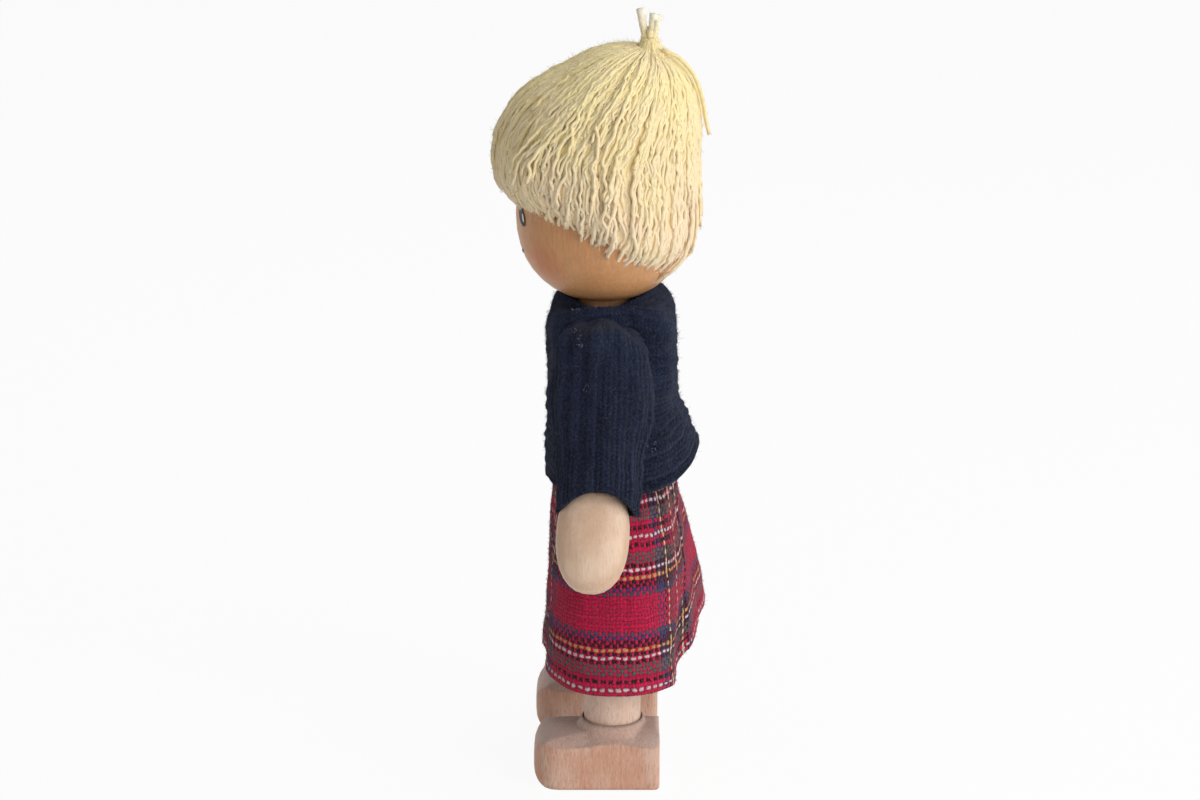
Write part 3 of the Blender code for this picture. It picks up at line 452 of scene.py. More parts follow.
def tan_wood(name, cheeks):
    """Waxed tan wood with a fine upright grain, and cheeks rubbed with orange at the places given."""
    light, tan, broad_shade = rgb(212, 157, 107), rgb(198, 141, 92), rgb(180, 127, 86)
    speck, blush = rgb(160, 110, 72), rgb(200, 104, 56)
    g = Look(name, 0.38, specular=0.4)
    fibres = g.noise(2.2, 4.0, 0.6, along=0.08)
    specks = g.noise(3.6, 2.0, 0.6, along=0.4)
    broad = g.noise(0.13, along=0.3)
    g.colour = g.mix(g.remap(fibres, 0.3, 0.7), light, tan)
    g.tint(broad_shade, 0.35, broad, 0.4, 0.7)
    g.tint(speck, 0.25, specks, 0.55, 0.7)
    for cheek in cheeks:
        g.tint(blush, 0.55, g.vector("DISTANCE", g.object_mm(), cheek), 6.2, 1.2)
    rounded = g.rounded(2.0, 8)
    return g.finish(fibres, 0.03, 0.3, g.remap(fibres, 0.3, 0.7, 0.36, 0.48), rounded)


def yarn(name, pale, deep, shade):
    """Soft cotton of two plies that wind round the strand, yellower to the crown, white at the knot."""
    white_end, fluffy = rgb(255, 252, 240), rgb(255, 251, 234)
    yellow_from, yellow_full = 98.0, 124.0
    g = Look(name, 0.9, specular=0.1, sheen=0.25)
    u, v, _ = g.split(g.cloth_uv())
    wind = g.scaled(v, 0.55, g.times(u, 2.0))
    ply = g.math("SINE", g.times(wind, TAU))
    fluff = g.noise(3.2, 4.0, 0.7)
    patchy = g.remap(g.noise(0.16), 0.3, 0.7, -0.3, 0.3)
    high = g.split(g.object_mm())[2]
    yellowed = g.math("ADD", patchy, g.remap(high, yellow_from, yellow_full), clamp=True)
    g.colour = g.mix(yellowed, pale, deep)
    g.tint(white_end, 0.8, high, TIE[2] + 1.5, TIE[2] + 5.0)
    # Painted shade in the grooves between the plies
    g.tint(shade, 0.22, ply, 0.0, -1.0)
    g.tint(fluffy, 0.45, fluff, 0.45, 0.75)
    height = g.scaled(fluff, 1.2, g.times(ply, 0.35))
    return g.finish(height, 0.1, 0.5)


def knit(name, columns_in_rib):
    """Fuzzy navy wool in ribs of a few columns of V-shaped stitches.

    u runs along the columns, and v across them. The columns wander, and they drown in felt towards
    the shoulders.
    """
    # The darkest navy tones here are painted shade in the knit's furrows, grooves, gaps and hollows
    navy, worn, furrow = rgb(26, 31, 48), rgb(40, 47, 70), rgb(17, 19, 30)
    paler, groove_shade, stitch_gap_shade = rgb(60, 68, 92), rgb(14, 16, 25), rgb(16, 19, 30)
    fluffy, hollow_shade, stray_hair = rgb(66, 75, 104), rgb(16, 18, 28), rgb(98, 106, 124)
    felt_from, felt_full = 60.0, SHOULDER[2] + 5.0
    g = Look(name, 0.95, specular=0.1, sheen=0.06)
    uv = g.cloth_uv()
    u, v, _ = g.split(uv)
    count = g.math("DIVIDE", v, COLUMN)
    for scale, reach in ((0.35, 0.9), (1.5, 0.5)):
        drift = g.minus(g.cloth_noise(uv, scale)["Fac"], 0.5)
        count = g.scaled(drift, reach, count)
    across = g.math("PINGPONG", count, 0.5)
    each = g.each(g.math("FLOOR", count))
    ridge = g.math("COSINE", g.minus(g.times(count, TAU / columns_in_rib), TAU / 3))
    vee = g.scaled(across, 1.2, g.math("DIVIDE", u, STITCH))
    loop = g.math("SINE", g.times(vee, TAU))
    fluff = g.noise(2.0, 5.0, 0.75)
    high = g.split(g.object_mm())[2]
    felted = g.scaled(g.noise(0.25, 3.0), 30.0, g.minus(high, 15.0))
    clear = g.remap(felted, felt_from, felt_full, 1.0, 0.25)
    hairs = g.noise(1.3, 3.0, 0.8, 1.4, along=2.0)
    g.colour = g.mix(g.remap(g.noise(0.14, 3.0), 0.35, 0.7), navy, worn)
    # Painted shade in the furrows between the ribs
    g.tint(furrow, 0.6, ridge, 0.6, -1.0, clear)
    g.tint(paler, 0.4, each, 0.5, 1.0, clear)
    # Painted shade in the grooves between the columns and the gaps between the stitches
    g.tint(groove_shade, 0.6, across, 0.3, 0.0, clear)
    g.tint(stitch_gap_shade, 0.35, loop, 0.3, -0.9, clear)
    g.tint(fluffy, 0.6, fluff, 0.48, 0.72)
    # Painted shade in the hollows of the fuzz
    g.tint(hollow_shade, 0.6, fluff, 0.46, 0.3)
    g.tint(stray_hair, 0.4, hairs, 0.64, 0.78)
    columns = g.times(g.remap(across, 0.0, 0.35), clear)
    height = g.scaled(fluff, 2.2, g.scaled(loop, 0.3, columns))
    return g.finish(height, 0.16, 0.8)


def wool_fibre(name, colour, other):
    """Single fibres: one tone that wanders between two colours."""
    g = Look(name, 0.9, specular=0.1)
    g.colour = g.mix(g.noise(0.9), colour, other)
    return g.finish()


# The tartan's threads, and the stripes of one half of its pattern, which runs there and back
RED, DARK, MAROON = rgb(207, 26, 73), rgb(44, 22, 31), rgb(62, 24, 42)
GREEN, DEEP_GREEN = rgb(92, 92, 90), rgb(44, 56, 54)
BLUE, SLATE = rgb(50, 60, 112), rgb(70, 74, 94)
YELLOW, CREAM, WHITE = rgb(226, 162, 96), rgb(232, 208, 160), rgb(240, 216, 218)
WARP_SETT = (
    CREAM, RED, DARK, RED, *3 * (DEEP_GREEN,), DARK, CREAM, DARK, DARK, BLUE, BLUE, SLATE, RED,
)
WEFT_SETT = (
    WHITE, RED, DARK, RED, *3 * (GREEN,), DARK, WHITE, DARK, YELLOW, DARK, MAROON, BLUE, SLATE, RED,
)
WARP_PITCH, WARP_PIVOT, WARP_HALF = 0.70, 27.0, 31.0
WEFT_PITCH, WEFT_PIVOT, WEFT_HALF = 0.72, 1.0, 19.0


def shaken(g, uv):
    """Cloth coordinates that wander, as threads of a loose weave do."""
    moved = uv
    for scale, reach in ((0.6, 0.9), (2.6, 0.26), (7.0, 0.16)):
        shift = g.vector("SUBTRACT", g.cloth_noise(uv, scale)["Color"], (0.5, 0.5, 0.5))
        moved = g.vector("MULTIPLY_ADD", shift, (reach, reach, 0.0), moved)
    return moved


def stripes(g, sett, count, pivot, half):
    """The colour of each thread, by its number. The pattern turns at the pivot and half a repeat on."""
    place = g.math("PINGPONG", g.minus(count, pivot), half)
    stops = [(max(k - 0.5, 0.0) / half, colour) for k, colour in enumerate(sett)]
    return g.bands(g.math("DIVIDE", place, half), stops)


def tartan():
    """A traditional red tartan in plain weave. u and v run along the hem and up from it.

    Each thread is arched across its width, and rises and dips over the threads that it crosses.
    The higher one shows.
    """
    # The first tone is painted shade where the threads lie low
    low_thread_shade, faded_red = rgb(56, 16, 32), rgb(66, 16, 34)
    fluffy, hollow_shade = rgb(206, 112, 138), rgb(48, 14, 28)
    g = Look("red_tartan", 0.9, specular=0.1, sheen=0.1)
    u, v, _ = g.split(shaken(g, g.cloth_uv()))
    around, up = g.math("DIVIDE", u, WARP_PITCH), g.math("DIVIDE", v, WEFT_PITCH)
    column, row = g.math("FLOOR", around), g.math("FLOOR", up)
    warp = stripes(g, WARP_SETT, column, WARP_PIVOT, WARP_HALF)
    weft = stripes(g, WEFT_SETT, row, WEFT_PIVOT, WEFT_HALF)
    crossing = g.math("FLOORED_MODULO", g.math("ADD", column, row), 2.0)
    parity = g.scaled(crossing, -2.0, 1.0)
    in_u, in_v = (g.minus(g.math("FRACT", place), 0.5) for place in (around, up))

    def arch(offset, thin):
        square = g.math("POWER", g.times(g.times(offset, thin), 2.0), 2.0)
        return g.math("SQRT", g.math("SUBTRACT", 1.0, square, clamp=True))

    def wave(offset):
        return g.times(g.math("COSINE", g.times(offset, math.pi)), parity)

    paleness = g.node("SeparateColor", {0: weft}).outputs["Green"]
    weft_arch = arch(in_v, g.remap(paleness, 0.25, 0.6, 1.15, 1.5))
    high_weft = g.scaled(wave(in_u), 0.55, g.math("ADD", weft_arch, 0.2))
    high_warp = g.scaled(wave(in_v), -0.55, arch(in_u, 1.4))
    fluff = g.noise(3.4, 4.0, 0.75)
    ragged = g.scaled(g.minus(fluff, 0.5), 0.9, g.minus(high_weft, high_warp))
    g.colour = g.mix(g.remap(ragged, -0.22, 0.22), warp, weft)
    high = g.math("MAXIMUM", high_weft, high_warp)
    fresh = g.scaled(g.each(column), 0.5, g.times(g.each(row), 0.5))
    # Painted shade where both threads lie low, between them
    g.tint(low_thread_shade, 0.6, high, 1.25, 0.5)
    g.tint(faded_red, 0.3, fresh, 0.8, 0.2)
    g.tint(fluffy, 0.32, fluff, 0.5, 0.78)
    # Painted shade in the hollows of the fuzz
    g.tint(hollow_shade, 0.4, fluff, 0.46, 0.28)
    return g.finish(g.scaled(fluff, 0.8, high), 0.16, 0.8)


def band():
    """Flat woven elastic: fine ridges that run round the waist."""
    ridge_pitch = 0.8
    g = Look("elastic_band", 0.8, specular=0.25)
    ridges = g.math("SINE", g.times(g.split(g.object_mm())[2], TAU / ridge_pitch))
    lint = g.noise(2.4, 3.0)
    # Painted shade: the colour darkens between the ridges
    g.colour = g.mix(g.remap(ridges, -1.0, 1.0), rgb(196, 192, 186), rgb(226, 223, 218))
    g.tint(rgb(170, 166, 160), 0.3, lint, 0.4, 0.7)
    return g.finish(g.scaled(lint, 0.4, ridges), 0.1, 0.7)


def paint(name, colour, other):
    """A brushed-on enamel with a slight unevenness."""
    g = Look(name, 0.5, specular=0.3)
    uneven = g.noise(1.4, 3.0)
    g.colour = g.mix(g.remap(uneven, 0.35, 0.7), colour, other)
    return g.finish(uneven, 0.02, 0.3)


# Head, with heights in millimetres, and azimuths in degrees from the face's middle to the doll's left

EYE = {"low": 98.9, "high": 102.7, "base": 25.0, "tip": 18.5, "width": 5.6}
EYE_LIGHT = {"low": 99.7, "high": 101.2, "base": 26.0, "tip": 23.8, "width": 1.5}
MOUTH_Z, MOUTH_REACH, MOUTH_RISE = 92.9, 15.5, 1.25
MOUTH_THICK, MOUTH_TIP, MOUTH_THINNEST = 0.26, 15.7, 0.03
CHEEK_AZIMUTH, CHEEK_Z = 40, 92.6
PAINT, LIGHT_PAINT = 0.05, 0.08


def head_radius(z):
    off = z - HEAD[2]
    reach = np.where(off > 0, HEAD_CROWN, HEAD_CHIN)
    return HEAD_RADIUS * np.maximum(1 - np.abs(off / reach) ** HEAD_SQUARENESS, TINY) ** (1 / HEAD_SQUARENESS)


def on_head(azimuth, z, lift):
    """Points on the head, or above it by the lift."""
    a = np.radians(azimuth)
    step = 0.01
    radius = head_radius(z)
    slope = (head_radius(z + step) - head_radius(z - step)) / (2 * step)
    size = np.sqrt(1 + slope ** 2)
    out = radius + lift / size
    return xyz(out * np.sin(a), NECK_Y - out * np.cos(a), z - lift * slope / size)


def film(name, azimuth, z, lift, finish):
    """A film of paint on the head."""
    made = surface(name, on_head(azimuth, z, lift), 0.0, 0.0, finish, wrap=False)
    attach(made, "head")


def drop(side, low, high, base, tip, width):
    """Azimuths and heights over a drop that is round below and runs to a point above."""
    t = np.linspace(0.0, 1.0, 25)[::-1, None]
    half = width * np.sqrt(np.maximum(t * (1 - t) ** 1.5, 0.0)) * 2.0
    return side * between(base, tip, t) + half * np.linspace(-1, 1, 9), between(low, high, t)


def make_face():
    black = paint("eye_black", rgb(22, 16, 20), rgb(34, 26, 30))
    white = paint("eye_white", rgb(246, 242, 240), rgb(232, 226, 226))
    red = paint("mouth_red", rgb(132, 52, 44), rgb(116, 42, 38))
    for name, side in SIDES:
        film(name + "_eye", *drop(side, **EYE), PAINT, black)
        film(name + "_eye_light", *drop(side, **EYE_LIGHT), LIGHT_PAINT, white)
    across = np.linspace(-MOUTH_REACH, MOUTH_REACH, 31)
    thick = MOUTH_THICK * np.sqrt(1 - (across / MOUTH_TIP) ** 2) + MOUTH_THINNEST
    z = MOUTH_Z + MOUTH_RISE * (across / MOUTH_REACH) ** 2 + np.linspace(-1, 1, 5)[::-1, None] * thick
    film("mouth", across, z, PAINT, red)


# Hair

TIE_TILT = math.radians(11.6)
CROWN = np.array((0.0, math.sin(TIE_TILT), math.cos(TIE_TILT)))
HAIR_SIDE, HAIR_DEPTH, HAIR_HEIGHT = 18.1, 17.5, 17.0
HAIR_HANG, HANG_SQUARENESS, HANG_END = 26.0, 5, 0.999
HAIR_FORWARD, CROWN_BACK = 0.2, 5.5
COMBED, COMBED_Y, COMBED_HALF = 1.3, -6.5, 4.5
CUT_RISE, CUT_FALL = 2.3, 12.5
CUT_FRONT, CUT_RUN = 8.5, 24.5
TUCK, TUCK_HEIGHT = 3.5, 7.0

# Strands: layers from the outside in (number, depth, radius, how far short of the cut one may end)
# and the way they wander (place in the noise, length of a wave, reach)
STRAND_SIDES = 5
STRAND_SHORTEST = 8.0
LAYERS = ((230, 0.15, 0.35, 7.5), (190, 0.6, 0.37, 3.5), (150, 1.0, 0.40, 1.0))
LONG_SWAY, SHORT_SWAY = (0, 9.0, 2.2), (20, 1.6, 0.85)
LONG_LIFT, SHORT_LIFT = (50, 6.0, 0.2), (70, 1.5, 0.36)
PLY_SHIFT = 3
LOCKS, LOCK_STRANDS, LOCK_DEPTH, LOCK_RADIUS = 22, 6, -0.15, 0.33
FLYAWAYS, FLYAWAY_DEPTH, FLYAWAY_RADIUS = 40, -0.25, 0.32
STRAY_RADIUS = 0.4
STRAY = np.array([
    (2.0, 10.6, 129.0), (2.4, 13.6, 127.6), (2.6, 16.2, 124.6),
    (2.7, 17.6, 120.6), (2.6, 18.3, 116.6), (2.5, 18.9, 114.2),
])
UNDER, UNDER_SHORT = 0.42, 1.6

# The knot: its cut ends (tip, radius), the yarn drawn up to it (way out, up) and its wrap
KNOT_ENDS = (
    ((-0.1, 6.9, 135.7), 0.68), ((0.5, 9.2, 134.9), 0.68), ((-0.4, 10.0, 134.6), 0.66),
    ((0.9, 9.9, 134.0), 0.5), ((1.0, 8.6, 132.2), 0.5), ((-1.0, 8.2, 132.4), 0.5),
)
KNOT_SIDES = 8
KNOT_LOW, KNOT_NECK = (0, 0, -1.4), (0, 0, 1.2)
DRAWN_UP, DRAWN_UP_RADIUS = 26, 0.36
DRAWN_UP_WAY = ((3.4, -1.0), (1.9, -0.1), (1.0, 1.6))
WRAP_TURNS, WRAP_REACH, WRAP_RISE, WRAP_PITCH, WRAP_RADIUS = 1.8, 1.25, 0.9, 0.5, 0.3

# Fibres on the yarn: how many, how long and how thick
HAIR_FUZZ = (14000, 1.0, 0.04)
FRAYED_ENDS = (3200, 0.9, 0.07)
FRAYED_RISE = (1.0, 4.0)
KNOT_FUZZ = (1200, 0.7, 0.03)


def hair_surface(direction, inset):
    """Where yarn lies for directions from the hair's middle, inside the mass's surface by the inset."""
    x, y, z = np.moveaxis(direction, -1, 0)
    up = np.maximum(z, 0.0)
    around = np.maximum(np.hypot(x, y), TINY)
    hang = (1 - np.minimum(np.abs(z), HANG_END) ** HANG_SQUARENESS) ** (1 / HANG_SQUARENESS) / around
    wide = np.where(z > 0, 1.0, hang)
    tall = np.where(z > 0, HAIR_HEIGHT - inset, HAIR_HANG)
    deep = y * wide * (HAIR_DEPTH - inset) - HAIR_FORWARD + CROWN_BACK * up ** 1.4
    combed_flat = COMBED * np.exp(-(((deep - COMBED_Y) / COMBED_HALF) ** 2)) * up ** 2
    return HAIR + np.stack([x * wide * (HAIR_SIDE - inset), deep, z * tall - combed_flat], -1)


def over_crown(foot, share):
    """Directions from the tie to feet of the hair, on the shortest ways round."""
    angle = np.arccos(foot @ CROWN)[..., None]
    return (np.sin((1 - share) * angle) * CROWN + np.sin(share * angle) * foot) / np.sin(angle)


def cut_level(y):
    """The height of the blunt cut: level over the face, then sloping down to the nape."""
    share = (y - HAIR[1] + CUT_FRONT) / CUT_RUN
    return HEAD[2] + CUT_RISE - CUT_FALL * np.clip(share, 0.0, 1.0)


def tucked(line):
    """Yarn bends in towards the head in the last millimetres above the cut."""
    above = np.maximum(line[..., 2] - cut_level(line[..., 1]), 0.0)
    pull = TUCK * np.maximum(1 - above / TUCK_HEIGHT, 0.0) ** 2.2
    out = line[..., :2] - HAIR[:2]
    reach = np.maximum(np.linalg.norm(out, axis=-1), TINY)
    bent = line.copy()
    bent[..., :2] = HAIR[:2] + out * (1 - pull / reach)[..., None]
    return bent


def strand_line(azimuth, inset, short, sway, rng):
    """From the tie over the mass and down, to an end that is short of the cut by some millimetres."""
    foot = np.array((math.cos(azimuth), math.sin(azimuth), 0.0))
    over = over_crown(foot, np.linspace(0.06, 1.0, 16)[:, None])
    low = (cut_level(hair_surface(foot, inset)[1]) - HAIR[2]) / HAIR_HANG
    down = xyz(foot[0], foot[1], np.linspace(0.0, low, 13)[1:])
    line = tucked(hair_surface(np.concatenate([over, down]), inset))
    run = distances(line)
    at = np.linspace(0, max(run[-1] - short, STRAND_SHORTEST), 44)
    line = np.stack([np.interp(at, run, line[:, k]) for k in range(3)], -1)
    t = at / run[-1]
    side = np.array((-math.sin(azimuth), math.cos(azimuth), 0.0))
    out = foot + (0.0, 0.0, 0.25)
    seed = rng.uniform(0, 900)

    def wander(offset, length, reach):
        return reach * np.array([noise.noise(Vector((seed + offset, d / length, 3.1))) for d in at])

    free = np.minimum(t * 3, 1)
    across = wander(*LONG_SWAY) * t ** 0.7 + wander(*SHORT_SWAY) * free + sway * t ** 1.5
    lift = wander(*LONG_LIFT) + wander(*SHORT_LIFT)
    return line + side * across[:, None] + out * (lift * free)[:, None]


def make_strands(finish, fibre):
    """The hank: three layers of yarn, locks that lie over them, single flyaways and one stray strand."""
    rng = random.Random(7)
    inner, outer = Tubes(), Tubes()
    tips = []

    def add_strand(hank, azimuth, inset, short, sway, radius):
        line = strand_line(azimuth, inset, short, sway, rng)
        t = np.linspace(0, 1, len(line))
        thick = radius * (0.5 + 0.5 * smoothstep(t / 0.45)) * rng.uniform(0.85, 1.15)
        hank.add(line, thick, STRAND_SIDES, rng.uniform(0, PLY_SHIFT))
        tips.append(line[-2:])

    for layer, (count, inset, radius, stagger) in enumerate(LAYERS):
        hank = inner if layer else outer
        for k in range(count):
            azimuth = TAU * (k + rng.uniform(-0.5, 0.5)) / count
            lock = noise.noise(Vector((math.cos(azimuth) * 5, math.sin(azimuth) * 5, inset)))
            short = max(stagger * rng.random() ** 1.4 + lock * 0.8, -0.4)
            sway = lock * 2.4 - 0.6 * math.cos(azimuth) + rng.gauss(0, 1.0)
            add_strand(hank, azimuth, inset + rng.uniform(-0.2, 0.2), short, sway, radius)
    for k in range(LOCKS):
        azimuth = TAU * (k + rng.uniform(-0.4, 0.4)) / LOCKS
        short, sway = rng.uniform(8, 26), rng.uniform(-9, 9)
        for _ in range(LOCK_STRANDS):
            beside = azimuth + rng.gauss(0, 0.06)
            sideways = sway + rng.gauss(0, 0.8)
            add_strand(outer, beside, LOCK_DEPTH, short + rng.uniform(-3, 3), sideways, LOCK_RADIUS)
    for _ in range(FLYAWAYS):
        azimuth = rng.uniform(-math.pi, math.pi)
        short, sway = rng.uniform(0, 22), rng.uniform(-5.5, 5.5)
        add_strand(outer, azimuth, FLYAWAY_DEPTH, short, sway, FLYAWAY_RADIUS)
    outer.add(curve_rows(STRAY, 16), STRAY_RADIUS, STRAND_SIDES)
    for name, hank in (("hair_inner_strands", inner), ("hair_outer_strands", outer)):
        dress(hank.made(name, finish), "head", "hair")
    skin, away = np.concatenate(inner.points + outer.points), np.concatenate(inner.out + outer.out)
    before, ends = np.moveaxis(tips, 1, 0)
    loose = fuzz("hair_fuzz", skin, away, *HAIR_FUZZ, fibre)
    frayed = fuzz("hair_frayed_ends", ends, unit(ends - before), *FRAYED_ENDS, fibre, FRAYED_RISE)
    for piece in (loose, frayed):
        dress(piece, "head")


def make_hair_under():
    """The inner yarn, which shows only between the strands, coloured a little darker than the outer yarn as
    painted shade between them.
    """
    finish = yarn("cotton_yarn_under_shaded", rgb(244, 218, 174), rgb(248, 226, 162), rgb(230, 202, 136))
    columns = 96
    around = turns(columns)
    foot = xyz(np.cos(around), np.sin(around), 0.0)
    low = (cut_level(hair_surface(foot, UNDER)[:, 1]) + UNDER_SHORT - HAIR[2]) / HAIR_HANG
    over = [over_crown(foot, s) for s in np.linspace(0.02, 1.0, 16)]
    down = [xyz(foot[:, 0], foot[:, 1], low * s) for s in np.linspace(0.0, 1.0, 9)[1:]]
    points = tucked(hair_surface(np.array(over + down), UNDER))
    u, v = np.arange(columns + 1) * 1.2, np.arange(len(points))[:, None] * 1.6
    dress(surface("hair_under", points, u, v, finish), "head")


def make_knot(finish, fibre):
    """The tie: yarn drawn up round it, a few turns of wrap and cut ends that stand up."""
    rng = random.Random(5)
    knot = Tubes()
    for tip, radius in KNOT_ENDS:
        foot = TIE + (tip - TIE) * (0.3, 0.4, 0.0)
        neck = foot + KNOT_NECK
        line = curve_rows([foot + KNOT_LOW, neck, between(neck, tip, 0.55), tip], 12)
        thick = radius * (1 + 0.12 * np.linspace(-1, 1, 12))
        knot.add(line, thick, KNOT_SIDES, rng.uniform(0, PLY_SHIFT))
    for k in range(DRAWN_UP):
        turn = TAU * (k + rng.uniform(-0.3, 0.3)) / DRAWN_UP
        aim = np.array((math.cos(turn), math.sin(turn), 0.0))
        line = curve_rows([TIE + aim * out + (0, 0, up) for out, up in DRAWN_UP_WAY], 9)
        knot.add(line, DRAWN_UP_RADIUS, KNOT_SIDES, rng.uniform(0, PLY_SHIFT))
    turned = np.linspace(0, WRAP_TURNS, 40)
    x, y = WRAP_REACH * np.cos(TAU * turned), WRAP_REACH * np.sin(TAU * turned)
    knot.add(TIE + xyz(x, y, WRAP_RISE + WRAP_PITCH * turned), WRAP_RADIUS, KNOT_SIDES)
    dress(knot.made("hair_knot", finish), "head", "hair_tie")
    skin, away = np.concatenate(knot.points), np.concatenate(knot.out)
    dress(fuzz("hair_knot_fuzz", skin, away, *KNOT_FUZZ, fibre), "head")


def make_hair():
    finish = yarn("cotton_yarn", rgb(249, 226, 192), rgb(253, 235, 176), rgb(240, 218, 152))
    fibre = wool_fibre("cotton_fibre", rgb(252, 236, 198), rgb(255, 246, 226))
    make_strands(finish, fibre)
    make_hair_under()
    make_knot(finish, fibre)


# Sweater

BODY_RIB, SLEEVE_RIB = 2, 3
RIB_LEVEL = 0.6

# Neckband: half widths of its line, its gaps to the head, and the tube round the line
NECK_SIDE, NECK_FRONT, NECK_BACK = 7.2, 6.8, 8.4
NECK_TUBE, NECK_GAP, NECK_DIP = 0.7, 0.6, 2.2
NECK_RADIUS, NECK_RIB_DEPTH, NECK_RIB = 0.72, 0.13, 1.05
NECK_IN, NECK_OUT, NECK_SLOPE = 3.0, 0.9, 0.35

# Body: YOKE_FALL has shares of the way out, and of the yoke's height that the knit falls by at the
# sides and in the middle. Rises are above the hips.
YOKE = 15.0
YOKE_FALL = (
    (0.45, -0.08, 0.07), (0.82, -0.17, 0.19), (1.0, -0.05, 0.40), (1.0, 0.50, 0.67), (1.0, 1.0, 1.0),
)
HEM_RISE, HEM_RISE_BACK = 9.6, 5.7
HEM_SIDE, HEM_FRONT, HEM_BACK = 14.7, 11.8, 15.4
TORSO_RISES, TORSO_DEPTHS = (0, 17, 24, 36), (7.8, 7.8, 8.3, 8.0)
WAIST_RISE, EASE = 24, 3.1
HEM_SQUARENESS, CHEST_SQUARENESS = 2.4, 5.0
BODY_RIB_DEPTH, HEM_RIB_DEPTH = 0.22, 0.44
HEM_ROLL = 0.3
ARMHOLE, ARMHOLE_FROM = 4.7, 8.5

# Sleeve
SLEEVE_RIBS, RIB_STEPS = 15, 16
SLEEVE_SIDE, SLEEVE_TOP, SLEEVE_IN = 5.9, 5.5, 4.2
SLEEVE_LENGTH, SLEEVE_RIB_DEPTH = 28.5, 0.42
CUFF_DEPTH, CUFF_WIDER, CUFF_BACK, CUFF_LIFT = 7.1, 0.7, 0.7, 4.25
SWELL, SWELL_AT, SWELL_HALF = 1.9, 0.28, 0.32
SLEEVE_FUZZ_FROM = 13.0

# Wool: how many fibres, how long and how thick, and the places of lint
SWEATER_FIBRES, NECK_FIBRES, SLEEVE_FIBRES = 9000, 3500, 8000
WOOL_LENGTH, WOOL_RADIUS = 0.7, 0.025
LOOSE_HAIRS = (60, 1.3, 0.03)
LINT_FIBRES = (9, 0.55, 0.04)
LINT_NEAR, LINT_POINTS = 3.0, 18
LINT = (
    (16.2, -2.4, 83.4), (10.4, -4.2, 85.4), (10.4, -0.8, 85.6), (18.6, -3.2, 81.8), (21.0, -2.0, 74.2),
    (12.0, 9.3, 60.8),
)


def head_underside(radius):
    return HEAD_CHIN * (1 - (radius / HEAD_RADIUS) ** HEAD_SQUARENESS) ** (1 / HEAD_SQUARENESS)


def neckband_line(angle, beyond=0.0):
    """The neckband's middle line, close under the head at the front and the back."""
    x, y = oval(angle, NECK_SIDE + beyond, NECK_FRONT + beyond, NECK_BACK + beyond, 2.0)
    reach = np.where(np.sin(angle) > 0, NECK_BACK, NECK_FRONT)
    top = HEAD[2] - head_underside(reach + NECK_TUBE) - NECK_GAP
    low = HEAD[2] - head_underside(NECK_SIDE + NECK_TUBE) - NECK_DIP
    return xyz(x, y + NECK_Y, between(low, top, np.abs(np.sin(angle)) ** 1.2) - NECK_TUBE)


def rib(v, columns_in_rib):
    """The height of the knit across its columns, from 0 in a furrow to 1 on the crown of a rib."""
    turn = TAU * v / COLUMN
    ridge = 0.5 + 0.5 * np.cos(turn / columns_in_rib - TAU / 3)
    return 0.65 * ridge + 0.35 * np.abs(np.sin(turn / 2))


def add_wool(name, body, points, out, count):
    """Wool fuzz all over a knitted surface, and lint where the photograph shows it near that surface."""
    points, out = points.reshape(-1, 3), out.reshape(-1, 3)
    wool = wool_fibre(name + "_fibre", rgb(40, 46, 66), rgb(70, 78, 102))
    greyed = wool_fibre(name + "_loose_fibre", rgb(78, 82, 98), rgb(112, 114, 126))
    grey = wool_fibre(name + "_lint_fibre", rgb(136, 138, 148), rgb(196, 196, 202))
    pieces = [
        fuzz(name + "_fuzz", points, out, count, WOOL_LENGTH, WOOL_RADIUS, wool),
        fuzz(name + "_loose_hairs", points, out, *LOOSE_HAIRS, greyed),
    ]
    for k, spot in enumerate(LINT):
        away = np.linalg.norm(points - spot, axis=1)
        if away.min() < LINT_NEAR:
            near = np.argsort(away)[:LINT_POINTS]
            pieces.append(fuzz(f"{name}_lint_{k}", points[near], out[near], *LINT_FIBRES, grey))
    for piece in pieces:
        dress(piece, body)


def sweater_rows(columns):
    """Rows of points from the neckband over the yoke, and down to the hem."""
    angle = turns(columns)
    neck = neckband_line(angle, 0.2) - (0.0, 0.0, 0.3)
    hem = HEM_RISE + HEM_RISE_BACK * np.maximum(np.sin(angle), 0.0) ** 3.5
    rows = [neck]
    steps = [(*fall, 0.0) for fall in YOKE_FALL]
    steps += [(*YOKE_FALL[-1], share) for share in (1 / 3, 2 / 3, 1.0)]
    for spread, side_fall, middle_fall, share in steps:
        z = neck[:, 2] - YOKE * between(side_fall, middle_fall, np.sin(angle) ** 2)
        z = between(z, HIP + hem, share)
        rise = z - HIP
        flare = smoothstep((WAIST_RISE - rise) / (WAIST_RISE - hem))
        chest = np.interp(rise, TORSO_RISES, TORSO_DEPTHS) + EASE
        side = between(SHOULDER_FLAT, HEM_SIDE, flare)
        front, back = between(chest, HEM_FRONT, flare), between(chest, HEM_BACK, flare)
        squareness = between(HEM_SQUARENESS, CHEST_SQUARENESS, smoothstep((rise - 18) / 12))
        x, y = oval(angle, side, front, back, squareness)
        rows.append(xyz(between(neck[:, 0], x, spread), between(neck[:, 1], y + BODY_Y, spread), z))
    return np.array(rows)


def armhole_walls(hole, rows, columns):
    """Quads that join the outer and inner layers round holes.

    A layer's quad at row i spans its rows i and i + 1, and the inner layer's rows run upward.
    """
    def pair(i, j):
        return i * columns + j % columns, (2 * rows - 1 - i) * columns + j % columns

    found = []
    for i, j in np.argwhere(hole):
        for di, dj, a, b in (
            (-1, 0, (i, j), (i, j + 1)), (1, 0, (i + 1, j + 1), (i + 1, j)),
            (0, -1, (i + 1, j), (i, j)), (0, 1, (i, j + 1), (i + 1, j + 1)),
        ):
            if not hole[(i + di) % len(hole), (j + dj) % columns]:
                (out_a, in_a), (out_b, in_b) = pair(*a), pair(*b)
                found.append((out_a, out_b, in_b, in_a))
    return np.array(found)


